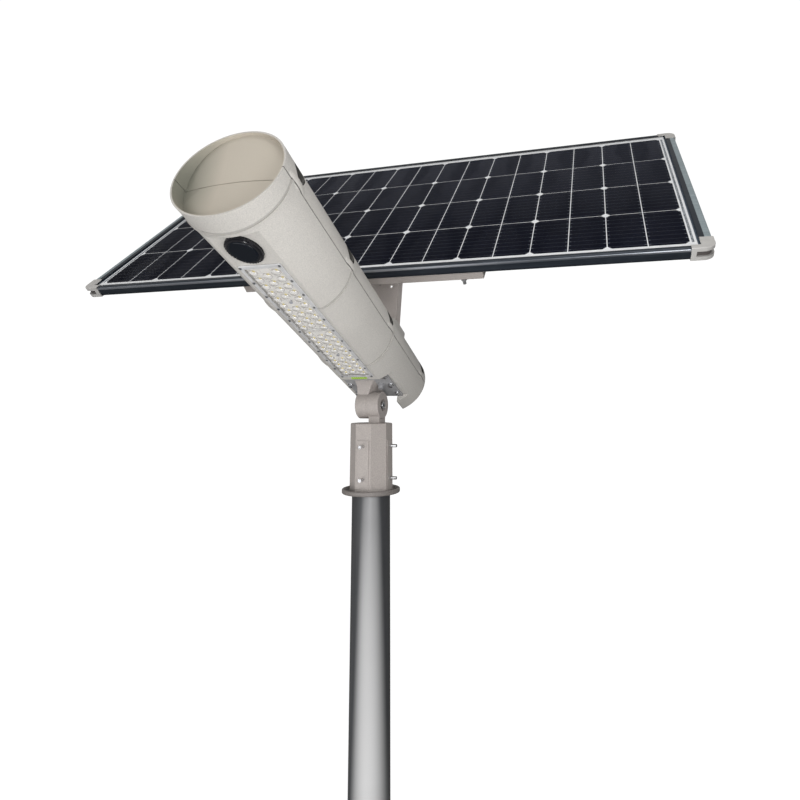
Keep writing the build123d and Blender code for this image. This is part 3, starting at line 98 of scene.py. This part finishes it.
# ---------------------------------------------------------------------------
# A small kit for node materials
# ---------------------------------------------------------------------------
class Look:
    """One procedural material. Values the same all over go on the shader's own sockets."""

    def __init__(self, name, color, rough=0.5, metal=0.0, **sockets):
        self.material = bpy.data.materials.new(name)
        self.material.use_nodes = True
        self.tree = self.material.node_tree
        self.shader = self.tree.nodes["Principled BSDF"]
        self.set("Base Color", (*color, 1))
        self.set("Roughness", rough)
        self.set("Metallic", metal)
        for key, value in sockets.items():
            self.set(key.replace("_", " "), value)
        self.material.diffuse_color = (*color, 1)

    def set(self, socket, value):
        self.shader.inputs[socket].default_value = value

    def add(self, kind, **values):
        """A node: each value goes to its socket of that name, or else to the node itself."""
        node = self.tree.nodes.new("ShaderNode" + kind)
        for key, value in values.items():
            socket = key.replace("_", " ")
            if socket in node.inputs:
                node.inputs[socket].default_value = value
            else:
                setattr(node, key, value)
        return node

    def join(self, source, target):
        self.tree.links.new(source, target)

    def place(self, tilt=0.0, origin=(0, 0, 0), stretch=(1, 1, 1)):
        """Object coordinates, turned about X into a tilted part's own frame."""
        here = self.add("TexCoord").outputs["Object"]
        if tilt == 0.0 and stretch == (1, 1, 1):
            return here
        moved = Matrix.Rotation(tilt, 3, "X") @ -Vector(origin)
        turned = self.add("Mapping", Rotation=(tilt, 0, 0), Location=moved)
        self.join(here, turned.inputs["Vector"])
        if stretch == (1, 1, 1):
            return turned.outputs["Vector"]
        stretched = self.add("Mapping", Scale=stretch)
        self.join(turned.outputs["Vector"], stretched.inputs["Vector"])
        return stretched.outputs["Vector"]

    def noise(self, where, scale, detail=2.0, rough=0.5, seed=0.0):
        node = self.add("TexNoise", noise_dimensions="4D", Scale=scale, Detail=detail,
                        Roughness=rough, W=seed)
        self.join(where, node.inputs["Vector"])
        return node.outputs["Fac"]

    def cells(self, where, scale):
        node = self.add("TexVoronoi", Scale=scale)
        self.join(where, node.inputs["Vector"])
        return node.outputs["Distance"]

    def axes(self, where):
        """The three coordinates of a place."""
        node = self.add("SeparateXYZ")
        self.join(where, node.inputs[0])
        return node.outputs["X"], node.outputs["Y"], node.outputs["Z"]

    def between(self, value, low, high, soft=0.0004):
        """1 between two values, 0 outside."""
        return self.math("MULTIPLY", self.above(value, low, soft), self.below(value, high, soft))

    def above(self, value, level, soft):
        """1 above a level, 0 below it."""
        return self.span(value, level - soft, level + soft, 0, 1)

    def below(self, value, level, soft):
        """1 below a level, 0 above it."""
        return self.span(value, level - soft, level + soft, 1, 0)

    def span(self, value, from_low, from_high, to_low, to_high, shape="LINEAR"):
        """A value carried from one range to another, and held at its ends."""
        node = self.add("MapRange", interpolation_type=shape)
        for index, number in enumerate((from_low, from_high, to_low, to_high)):
            node.inputs[index + 1].default_value = number
        self.join(value, node.inputs["Value"])
        return node.outputs["Result"]

    def math(self, operation, a, b=None):
        node = self.add("Math", operation=operation)
        for index, value in enumerate((a, b)):
            if isinstance(value, (int, float)):
                node.inputs[index].default_value = value
            elif value is not None:
                self.join(value, node.inputs[index])
        return node.outputs[0]

    def squared(self, value, size):
        """(value / size) squared."""
        return self.math("POWER", self.math("DIVIDE", value, size), 2.0)

    def blend(self, factor, low, high, mode="MIX"):
        """A colour between two: each is a colour or a node's output."""
        node = self.add("Mix", data_type="RGBA", blend_type=mode)
        if isinstance(factor, float):
            node.inputs["Factor"].default_value = factor
        else:
            self.join(factor, node.inputs["Factor"])
        for index, value in ((6, low), (7, high)):
            if isinstance(value, tuple):
                node.inputs[index].default_value = (*value, 1)
            else:
                self.join(value, node.inputs[index])
        return node.outputs[2]

    def shades(self, noise, color, darker, paler):
        """A colour between two shades of it, over the middle of a noise."""
        return self.blend(self.span(noise, 0.3, 0.7, 0, 1), scaled(color, darker), scaled(color, paler))

    def facing(self):
        """0 where the surface faces the eye, 1 at its outline."""
        return self.add("LayerWeight", Blend=0.5).outputs["Facing"]

    def lean(self, direction):
        """1 where the object's surface faces a direction, 0 square to it."""
        node = self.add("VectorMath", operation="DOT_PRODUCT")
        self.join(self.add("TexCoord").outputs["Normal"], node.inputs[0])
        node.inputs[1].default_value = direction
        return node.outputs["Value"]

    def color(self, output):
        self.join(output, self.shader.inputs["Base Color"])

    def roughness(self, output):
        self.join(output, self.shader.inputs["Roughness"])

    def bump(self, *layers):
        """Each layer is a height output, its depth in metres and its strength."""
        normal = None
        for height, depth, strength in layers:
            node = self.add("Bump", Distance=depth, Strength=strength)
            self.join(height, node.inputs["Height"])
            if normal is not None:
                self.join(normal, node.inputs["Normal"])
            normal = node.outputs["Normal"]
        self.join(normal, self.shader.inputs["Normal"])


def scaled(color, factor):
    return tuple(channel * factor for channel in color)


def powder_coat(name, color, rough=0.5, grain=800):
    """Sanded powder coat: fine grain and faint mottling."""
    look = Look(name, color, rough, Specular_IOR_Level=0.42)
    where = look.place()
    mottle = look.noise(where, 7, 3, 0.6, seed=1.3)
    speckle = look.noise(where, grain, 2, 0.7, seed=4.1)
    base = look.shades(mottle, color, 0.95, 1.04)
    warmth = (1.0, 0.985, 0.96)
    warm_grain = tuple(channel * 1.18 * warm for channel, warm in zip(color, warmth))
    fine = look.blend(look.span(speckle, 0.35, 0.65, 0, 1), scaled(color, 0.72), warm_grain)
    look.color(look.blend(0.5, base, fine))
    look.roughness(look.span(mottle, 0.3, 0.7, rough - 0.06, rough + 0.08))
    peel = look.noise(where, grain * 0.35, 1, 0.5, seed=2.2)
    look.bump((peel, 0.00025, 0.20), (speckle, 0.000125, 0.35))
    return look.material


def metal(name, color, rough=0.35, along=(1, 1, 60), metallic=1.0):
    """Drawn or machined metal with fine lines and slight staining."""
    look = Look(name, color, rough, metallic)
    lines = look.noise(look.place(stretch=along), 30, 3, 0.6, seed=3.0)
    stain = look.noise(look.place(), 18, 3, 0.6, seed=7.0)
    look.color(look.shades(stain, color, 0.86, 1.06))
    look.roughness(look.span(lines, 0.25, 0.75, rough - 0.10, rough + 0.12))
    look.bump((lines, 0.00008, 0.25))
    return look.material


def moulded(name, color, rough=0.45, strength=0.2):
    """Moulded plastic with a fine eroded grain."""
    look = Look(name, color, rough, Specular_IOR_Level=0.45)
    where = look.place()
    skin = look.noise(where, 1200, 2, 0.6, seed=5.0)
    cloud = look.noise(where, 22, 2, 0.5, seed=6.0)
    look.color(look.shades(cloud, color, 0.9, 1.08))
    look.roughness(look.span(skin, 0.3, 0.7, rough - 0.05, rough + 0.08))
    look.bump((skin, 0.0001, strength))
    return look.material


def tube_axes(look):
    """The tube's coordinates: across, back from the mouth, above its axis."""
    return look.axes(look.place(LAMP_TILT, MOUTH))


def panel_axes(look):
    """Panel coordinates: along, up the slope from the grid's near edge, out of the cells."""
    return look.axes(look.place(-PANEL_TILT, GRID))


def repeat(look, value, period):
    """Distance from the middle of each period, 0 there and half the period at its ends."""
    within = look.math("MODULO", look.math("ADD", value, 100 * period), period)
    return look.math("ABSOLUTE", look.math("SUBTRACT", within, period / 2))


# ---------------------------------------------------------------------------
# Materials
# ---------------------------------------------------------------------------
HOUSING = (0.57, 0.553, 0.527)
FITTING = (0.375, 0.342, 0.325)
CAP = (0.47, 0.46, 0.445)

fitting = powder_coat("fitting_coat", FITTING, grain=330)
ring_coat = powder_coat("ring_coat", scaled(FITTING, 0.5), 0.45, 500)
rail_coat = powder_coat("rail_coat", scaled(FITTING, 0.9))
# The post's coat is a paler copy of the fitting paint: painted light standing in for the front light on
# the post
post_coat = powder_coat("post_coat", scaled(FITTING, 1.4))
plate = powder_coat("plate_coat", (0.34, 0.34, 0.35))
bolt_steel = metal("bolt_steel", (0.66, 0.665, 0.68), 0.25)
bare_steel = metal("bare_steel", (0.42, 0.43, 0.44), 0.45)
module_metal = metal("module_metal", (0.66, 0.66, 0.67), 0.42, along=(60, 1, 1), metallic=0.25)
screw_dark = metal("screw_dark", (0.15, 0.155, 0.165), 0.40, metallic=0.4)
screw_pale = metal("screw_pale", (0.42, 0.43, 0.47), 0.45, metallic=0.3)
bare_aluminium = metal("bare_aluminium", (0.72, 0.73, 0.74), 0.40, along=(60, 1, 1))
seal_rubber = moulded("seal_rubber", (0.028, 0.028, 0.030), 0.75)
gland_plastic = moulded("gland_plastic", (0.27, 0.27, 0.28), 0.5)
sensor_black = moulded("sensor_black", (0.012, 0.012, 0.015), 0.12, strength=0.05)
holder_plastic = moulded("holder_plastic", (0.05, 0.05, 0.055), 0.5)
box_plastic = moulded("box_plastic", (0.03, 0.03, 0.032), 0.45)
terminal_green = moulded("terminal_green", (0.04, 0.26, 0.10), 0.4)
cell_sleeve = moulded("cell_sleeve", (0.07, 0.24, 0.48), 0.3)


def housing_coat():
    """Sand-textured powder coat, dark in the seam between its shells, with painted shade in its pockets,
    in front of its rings and on the mouth's left.
    """
    look = Look("housing_coat", HOUSING, 0.5, Specular_IOR_Level=0.42)
    where = look.place()
    x, s, n = tube_axes(look)
    mottle = look.noise(where, 7, 3, 0.6, seed=1.3)
    sand = look.noise(where, 620, 3, 0.75, seed=4.1)
    base = look.shades(mottle, HOUSING, 0.96, 1.04)
    grain = look.blend(look.span(sand, 0.32, 0.68, 0, 1), (0.76, 0.76, 0.76), (1.16, 1.15, 1.13))
    coat = look.blend(1.0, base, grain, "MULTIPLY")

    # Inside the mouth the coat is warmer, and darker on its left with painted shade
    oval = look.math("ADD", look.squared(x, BORE_ACROSS), look.squared(n, BORE_UP))
    bore = look.span(oval, 1.005, 1.03, 1, 0)
    mouth = look.math("MULTIPLY", bore, look.span(s, RECESS_END, RECESS_END + 0.001, 1, 0))
    warm = look.blend(mouth, coat, (0.50, 0.455, 0.385))
    sanded = look.blend(look.span(sand, 0.32, 0.68, 0, 0.10), warm, (0.30, 0.28, 0.25))
    painted_shade = look.math("MULTIPLY", mouth, look.span(x, -0.092, -0.025, 0.80, 0))
    left_shaded = look.blend(painted_shade, sanded, (0.155, 0.165, 0.135))

    # Dark joint along the seam between the shells, and a painted shadow in front of each ring below the
    # seam
    dark = look.between(n, SEAM_LEVEL - SEAM_HALF_WIDTH, SEAM_LEVEL + SEAM_HALF_WIDTH)
    raked = look.math("ADD", look.math("MULTIPLY", s, cos(RING_RAKE)),
                      look.math("MULTIPLY", n, sin(RING_RAKE)))
    below = look.span(n, SEAM_LEVEL - 0.002, SEAM_LEVEL - 0.001, 1, 0)
    for station in RING_STATIONS:
        front = station * cos(RING_RAKE) - RING_FRONT
        shade = look.math("MULTIPLY", look.between(raked, front - RING_SHADOW_WIDTH, front), below)
        dark = look.math("MAXIMUM", dark, look.math("MULTIPLY", shade, 0.32))

    # Painted shade: the screw pockets are darkened inside
    aside = look.math("SUBTRACT", look.math("ABSOLUTE", x), POCKET_SIDE)
    aside = look.squared(aside, POCKET_ACROSS)
    above_floor = look.span(n, POCKET_FLOOR, POCKET_FLOOR + 0.0002, 0, 1)
    for station in POCKET_STATIONS:
        behind = look.squared(look.math("SUBTRACT", s, station), POCKET_ALONG)
        pocket = look.span(look.math("ADD", aside, behind), 0.99, 1.01, 1, 0)
        dark = look.math("MAXIMUM", dark, look.math("MULTIPLY", pocket, above_floor))

    fainter_in_mouth = look.math("SUBTRACT", 1.0, look.math("MULTIPLY", mouth, 0.65))
    dark = look.math("MULTIPLY", dark, fainter_in_mouth)
    look.color(look.blend(dark, left_shaded, (0.035, 0.033, 0.030)))
    look.roughness(look.span(mottle, 0.3, 0.7, 0.44, 0.58))
    look.bump((look.noise(where, 380, 1, 0.5, seed=2.2), 0.00025, 0.20), (sand, 0.0002, 0.45))
    return look.material


def cap_plastic():
    """Satin plastic of the corner caps, with painted shade in the oblong groove."""
    look = Look("cap_plastic", CAP, 0.42, Specular_IOR_Level=0.5)
    x, u, h = panel_axes(look)
    cloud = look.noise(look.place(), 30, 2, 0.5, seed=6.5)
    base = look.shades(cloud, CAP, 0.92, 1.08)
    level = look.between(h, *CAP_GROOVE, 0.0003)
    side = look.below(look.math("ABSOLUTE", x), CAP_GROOVE_SIDE, 0.0005)
    inset = look.math("MULTIPLY", side, look.between(u, *CAP_GROOVE_SLOPE, 0.0005))
    look.color(look.blend(look.math("MULTIPLY", level, inset), base, (0.085, 0.075, 0.072)))
    look.bump((look.noise(look.place(), 700, 2, 0.6, seed=5.5), 0.0001, 0.3))
    return look.material


def pole_paint():
    """Dark metallic satin paint with faint rain marks, and a painted sheen: lighter where it faces the
    eye.
    """
    color = (0.050, 0.052, 0.056)
    look = Look("pole_paint", color, 0.45, 0.1, Specular_IOR_Level=0.35)
    where = look.place()
    runs = look.noise(look.place(stretch=(60, 60, 1.5)), 1.0, 4, 0.6, seed=8.0)
    dust = look.noise(where, 9, 4, 0.65, seed=9.0)
    streaked = look.blend(look.span(runs, 0.35, 0.7, 0, 1), scaled(color, 0.9), scaled(color, 1.25))
    paled = look.blend(look.span(dust, 0.45, 0.75, 0, 0.3), streaked, (0.075, 0.074, 0.07))
    # Painted sheen, wider and brighter towards the foot, where it also stands in for the floor's
    # reflection
    _, _, height = look.axes(where)
    spread = look.span(height, 0.0, SHEEN_END, 0.75, 0.16)
    sheen = look.span(look.math("DIVIDE", look.facing(), spread), 0.0, 1.0, 0.9, 0.0, "SMOOTHSTEP")
    bright = look.blend(look.span(height, 0.1, 0.7, 0, 1), (0.90, 0.90, 0.905), (0.30, 0.30, 0.305))
    look.color(look.blend(sheen, paled, bright))
    look.roughness(look.span(runs, 0.3, 0.7, 0.38, 0.48))
    look.bump((look.noise(where, 420, 1, 0.5, seed=2.0), 0.0002, 0.12))
    return look.material


def sensor_window():
    """Smoked flat window, satin, with faint moulding rings."""
    color = (0.006, 0.008, 0.012)
    look = Look("sensor_window", color, 0.20, Specular_IOR_Level=0.18)
    x, y, _ = look.axes(look.place(LAMP_TILT, MOUTH + ALONG * SENSOR_STATION))
    squares = look.math("ADD", look.math("POWER", x, 2.0), look.math("POWER", y, 2.0))
    radius = look.math("SQRT", squares)
    wave = look.math("SINE", look.math("MULTIPLY", radius, 2 * pi / 0.0022))
    look.color(look.blend(look.span(wave, -1, 1, 0, 1), scaled(color, 0.85), scaled(color, 1.1)))
    look.bump((wave, 0.0001, 0.15))
    return look.material


def clear_optic():
    """Clear moulded plastic of the LED optics."""
    color = (0.95, 0.96, 0.97)
    look = Look("clear_optic", color, 0.06, Specular_IOR_Level=0.9,
                Coat_Weight=1.0, Coat_Roughness=0.03)
    # Painted shade: the dome flanks, which turn away from the facet, are grey and less clear, so each
    # dome shows a dark outline
    flat = look.lean(-ABOVE)
    look.join(look.span(flat, 0.45, 0.97, 0.55, 0.06), look.shader.inputs["Alpha"])
    look.color(look.blend(look.span(flat, 0.35, 0.85, 0, 1), (0.34, 0.33, 0.32), color))
    look.bump((look.noise(look.place(), 500, 1, 0.5, seed=2.6), 0.0002, 0.10))
    return look.material


def board_white():
    """White solder mask with pale grey tracks along the board."""
    # The faint glow is painted light that brightens the board; the board is no lamp
    look = Look("board_white", (0.90, 0.89, 0.87), 0.35, Emission_Color=(1.0, 0.97, 0.93, 1),
                Emission_Strength=0.32)
    tracks = look.add("TexBrick", offset=0.5, Scale=1.0, Brick_Width=TRACK_LENGTH, Row_Height=TRACK_WIDTH,
                      Mortar_Size=0.0006, Color1=(0.93, 0.92, 0.90, 1),
                      Color2=(0.86, 0.85, 0.83, 1), Mortar=(0.58, 0.58, 0.60, 1))
    look.join(look.place(LAMP_TILT, MOUTH), tracks.inputs["Vector"])
    look.color(tracks.outputs["Color"])
    look.bump((tracks.outputs["Fac"], 0.00004, 0.3))
    return look.material


def led_yellow():
    """Phosphor: warm yellow, a little uneven."""
    color = (0.86, 0.66, 0.07)
    # The faint glow is painted light: the LEDs are not lit
    look = Look("led_phosphor", color, 0.4, Emission_Color=(1.0, 0.78, 0.06, 1),
                Emission_Strength=0.45)
    grain = look.noise(look.place(), 1500, 2, 0.6, seed=1.0)
    look.color(look.blend(look.span(grain, 0.3, 0.7, 0, 1), (0.80, 0.58, 0.04), (0.95, 0.80, 0.18)))
    look.roughness(look.span(grain, 0.3, 0.7, 0.35, 0.55))
    return look.material


def strip_green():
    """Lime strip with a row of darker segments."""
    look = Look("strip_green", (0.38, 0.62, 0.05), 0.35)
    wave = look.add("TexWave", wave_type="BANDS", bands_direction="X", Scale=60, Distortion=0.4)
    look.join(look.place(), wave.inputs["Vector"])
    segments = wave.outputs["Fac"]
    lit = look.span(segments, 0.2, 0.8, 0, 1)
    look.color(look.blend(lit, (0.30, 0.48, 0.03), (0.46, 0.74, 0.08)))
    look.roughness(look.span(segments, 0, 1, 0.3, 0.42))
    return look.material


def solar_cell():
    """Dark blue silicon with thin fingers across and busbars along each cell."""
    look = Look("solar_cell", (0.006, 0.008, 0.016), 0.32, Specular_IOR_Level=0.03,
                Specular_Tint=(0.55, 0.65, 1.0, 1))
    x, u, _ = panel_axes(look)
    busbar = repeat(look, u, 2 * CELL_PITCH / BUSBARS)
    line = look.span(busbar, 0.00035, 0.00085, 1, 0)
    pad = look.span(busbar, 0.0009, 0.0014, 1, 0)
    half = CELL_PITCH / 2
    cell_end = look.span(repeat(look, x, CELL_PITCH), half - 0.0068, half - 0.0058, 0, 1)
    pads = look.math("MULTIPLY", look.math("MULTIPLY", cell_end, pad), 0.45)
    busbars = look.math("MAXIMUM", look.math("MULTIPLY", line, 0.14), pads)
    fingers = look.span(repeat(look, x, FINGER_PITCH), 0.00005, 0.0003, 1, 0)
    printed = look.math("MAXIMUM", busbars, look.math("MULTIPLY", fingers, 0.012))
    cloud = look.noise(look.place(), 5, 3, 0.6, seed=11.0)
    clouded = look.span(cloud, 0.3, 0.7, 0, 1)
    silicon = look.blend(clouded, (0.0020, 0.0026, 0.0075), (0.0036, 0.0046, 0.0120))
    # Paler up the slope: a painted reflection on the cells
    paled = look.blend(look.span(u, 0.15, 0.62, 0, 1), silicon, (0.018, 0.020, 0.031))
    look.color(look.blend(printed, paled, (0.30, 0.32, 0.36)))
    look.roughness(look.span(cloud, 0.3, 0.7, 0.28, 0.38))
    return look.material


def panel_glass():
    """Solar glass with an anti-reflection coat: nearly clear, faintly dimpled."""
    look = Look("panel_glass", (0.010, 0.014, 0.024), 0.10, Alpha=0.03, Specular_IOR_Level=0.06,
                Specular_Tint=(0.60, 0.72, 1.0, 1))
    look.bump((look.noise(look.place(), 700, 1, 0.5, seed=3.3), 0.0001, 0.08))
    return look.material


def sheet_white():
    """White backsheet, faintly uneven, with a dark hem along its short ends."""
    look = Look("sheet_white", (0.82, 0.84, 0.87), 0.5)
    cloud = look.noise(look.place(), 40, 3, 0.6, seed=12.0)
    base = look.blend(look.span(cloud, 0.3, 0.7, 0, 1), (0.80, 0.82, 0.85), (0.92, 0.93, 0.94))
    x, _, _ = panel_axes(look)
    hem = look.above(look.math("ABSOLUTE", x), HEM_START, 0.0002)
    look.color(look.blend(hem, base, (0.05, 0.07, 0.10)))
    look.bump((cloud, 0.0003, 0.2))
    return look.material


def ribbon_metal():
    """Tinned ribbon, hammered into a dotted pattern."""
    look = Look("ribbon_metal", (0.50, 0.53, 0.56), 0.45, 0.3)
    dots = look.cells(look.place(-PANEL_TILT, GRID), 300)
    look.color(look.blend(look.span(dots, 0.25, 0.6, 0, 1), (0.03, 0.04, 0.05), (0.42, 0.45, 0.49)))
    look.bump((dots, 0.0003, 0.4))
    return look.material


def frame_anodised():
    """Dark anodised extrusion with fine lines, and a paler teal band along its short rails."""
    color = (0.020, 0.026, 0.036)
    look = Look("frame_anodised", color, 0.34, 0.55)
    x, u, h = panel_axes(look)
    lines = look.noise(look.place(-PANEL_TILT, GRID, stretch=(1, 140, 140)), 2.0, 3, 0.7, seed=13.0)
    stain = look.noise(look.place(), 14, 3, 0.6, seed=14.0)
    base = look.shades(lines, color, 0.8, 1.3)
    paled = look.blend(look.span(stain, 0.45, 0.8, 0, 0.3), base, (0.06, 0.075, 0.085))
    teal = look.blend(look.span(lines, 0.3, 0.7, 0, 1), (0.28, 0.34, 0.365), (0.40, 0.47, 0.495))
    outer_band = look.span(look.math("ABSOLUTE", x), OUTER_BAND, OUTER_BAND + 0.0006, 0, 1)
    banded = look.blend(outer_band, paled, teal)
    # Painted highlight: long lighter streaks along the top edge of the near rail's face stand in for a
    # reflection
    edge = look.math("MULTIPLY", look.span(h, -0.0035, -0.0015, 0, 1),
                     look.span(h, 0.0018, 0.0034, 1, 0))
    streak = look.noise(look.place(stretch=(1.4, 0.01, 0.01)), 1.0, 1, 0.5, seed=15.0)
    painted_highlight = look.math("MULTIPLY", edge, look.span(streak, 0.40, 0.66, 0.15, 0.9))
    near_side = look.math("MULTIPLY", painted_highlight, look.below(u, NEAR_FACE, 0.0005))
    look.color(look.blend(near_side, banded, (0.46, 0.48, 0.52)))
    look.roughness(look.span(lines, 0.25, 0.75, 0.26, 0.44))
    look.bump((lines, 0.00006, 0.3))
    return look.material


LOOKS = {
    "pole_paint": pole_paint(),
    "fitting_paint": fitting,
    "housing_paint": housing_coat(),
    "plate_metal": plate,
    "module_metal": module_metal,
    "bare_aluminium": bare_aluminium,
    "bare_steel": bare_steel,
    "bolt_steel": bolt_steel,
    "seal_rubber": seal_rubber,
    "gland_plastic": gland_plastic,
    "clear_optic": clear_optic(),
    "board_white": board_white(),
    "led_yellow": led_yellow(),
    "strip_green": strip_green(),
    "sensor_black": sensor_black,
    "sensor_window": sensor_window(),
    "cell_sleeve": cell_sleeve,
    "holder_plastic": holder_plastic,
    "controller_black": box_plastic,
    "terminal_green": terminal_green,
    "frame_anodised": frame_anodised(),
    "cap_plastic": cap_plastic(),
    "panel_glass": panel_glass(),
    "solar_cell": solar_cell(),
    "sheet_white": sheet_white(),
    "ribbon_metal": ribbon_metal(),
}
OWN_LOOKS = {
    "led_frame_screws": screw_dark,
    "optic_screws": screw_pale,
    "beam": rail_coat,
    "rail_near": rail_coat,
    "rail_far": rail_coat,
    "post": post_coat,
    "cover_ring": ring_coat,
}
for entry in frame["record"]["subparts"]:
    for slot in NODES[entry["node"]].material_slots:
        slot.material = OWN_LOOKS.get(entry["node"], LOOKS[entry["material_slot"]])

# ---------------------------------------------------------------------------
# Camera, in front and to the right, at about the lamp's height
# ---------------------------------------------------------------------------
scene = bpy.context.scene
camera_data = bpy.data.cameras.new("camera")
camera_data.sensor_width = 36
camera_data.lens = 22.946
camera_data.shift_x = -0.0891
camera_data.shift_y = -0.0166
camera_data.clip_start = 0.02
camera = bpy.data.objects.new("camera", camera_data)
camera.location = (0.5318, -1.1686, 0.9816)
camera.rotation_euler = Euler((radians(90 + 1.93), 0, radians(13.43)), "XYZ")
scene.collection.objects.link(camera)
scene.camera = camera

# ---------------------------------------------------------------------------
# Floor and light
# ---------------------------------------------------------------------------
floor_mesh = bpy.data.meshes.new("floor")
corners = [(FLOOR_HALF * x, FLOOR_HALF * y, 0) for x, y in ((-1, -1), (1, -1), (1, 1), (-1, 1))]
floor_mesh.from_pydata(corners, [], [(0, 1, 2, 3)])
floor = bpy.data.objects.new("floor", floor_mesh)
floor.location = (0, 0, -0.0005)
scene.collection.objects.link(floor)
floor_look = Look("floor_pale", (0.25, 0.25, 0.25), 0.9, Emission_Color=(1, 1, 1, 1),
                  Specular_IOR_Level=0)
floor_seen = floor_look.math("MULTIPLY", floor_look.add("LightPath").outputs["Is Camera Ray"], 0.90)
floor_look.join(floor_seen, floor_look.shader.inputs["Emission Strength"])
floor_mesh.materials.append(floor_look.material)

world = bpy.data.worlds.new("studio")
scene.world = world
world.use_nodes = True
sky = world.node_tree
background = sky.nodes["Background"]
background.inputs["Color"].default_value = (1.0, 0.995, 0.985, 1)
background.inputs["Strength"].default_value = 0.36
white = sky.nodes.new("ShaderNodeBackground")
white.inputs["Color"].default_value = (1, 1, 1, 1)
white.inputs["Strength"].default_value = 1.05
seen = sky.nodes.new("ShaderNodeLightPath")
either = sky.nodes.new("ShaderNodeMixShader")
sky.links.new(seen.outputs["Is Camera Ray"], either.inputs["Fac"])
sky.links.new(background.outputs["Background"], either.inputs[1])
sky.links.new(white.outputs["Background"], either.inputs[2])
sky.links.new(either.outputs["Shader"], sky.nodes["World Output"].inputs["Surface"])


def shine(name, kind, towards, place=(0, 0, 0), **settings):
    """A light of one kind that shines from a place along a direction."""
    data = bpy.data.lights.new(name, kind)
    for key, value in settings.items():
        setattr(data, key, value)
    light = bpy.data.objects.new(name, data)
    light.location = place
    light.rotation_mode = "QUATERNION"
    light.rotation_quaternion = Vector(towards).to_track_quat("-Z", "Y")
    scene.collection.objects.link(light)


def softbox(name, place, target, width, height, watts):
    """A soft light box in front of the object."""
    shine(name, "AREA", Vector(target) - Vector(place), place, shape="RECTANGLE", size=width,
          size_y=height, energy=watts)


shine("key", "SUN", (-0.10, 0.40, -0.90), energy=1.0, angle=radians(30), color=(1.0, 0.985, 0.96))
shine("fill", "SUN", (0.50, 0.83, -0.10), energy=0.62, angle=radians(30))
softbox("low_left", (-0.45, -1.10, 0.25), (0, -0.32, 1.12), 0.9, 0.9, 7)
softbox("side_front", (0.75, -0.85, 1.00), (0.08, -0.50, 1.17), 0.4, 0.4, 5)
softbox("tall_front", (0.66, -2.2, 0.4), (0, 0, 0.3), 0.4, 1.0, 16)

scene.view_settings.view_transform = "Standard"
scene.view_settings.look = "None"
scene.view_settings.exposure = 0.0
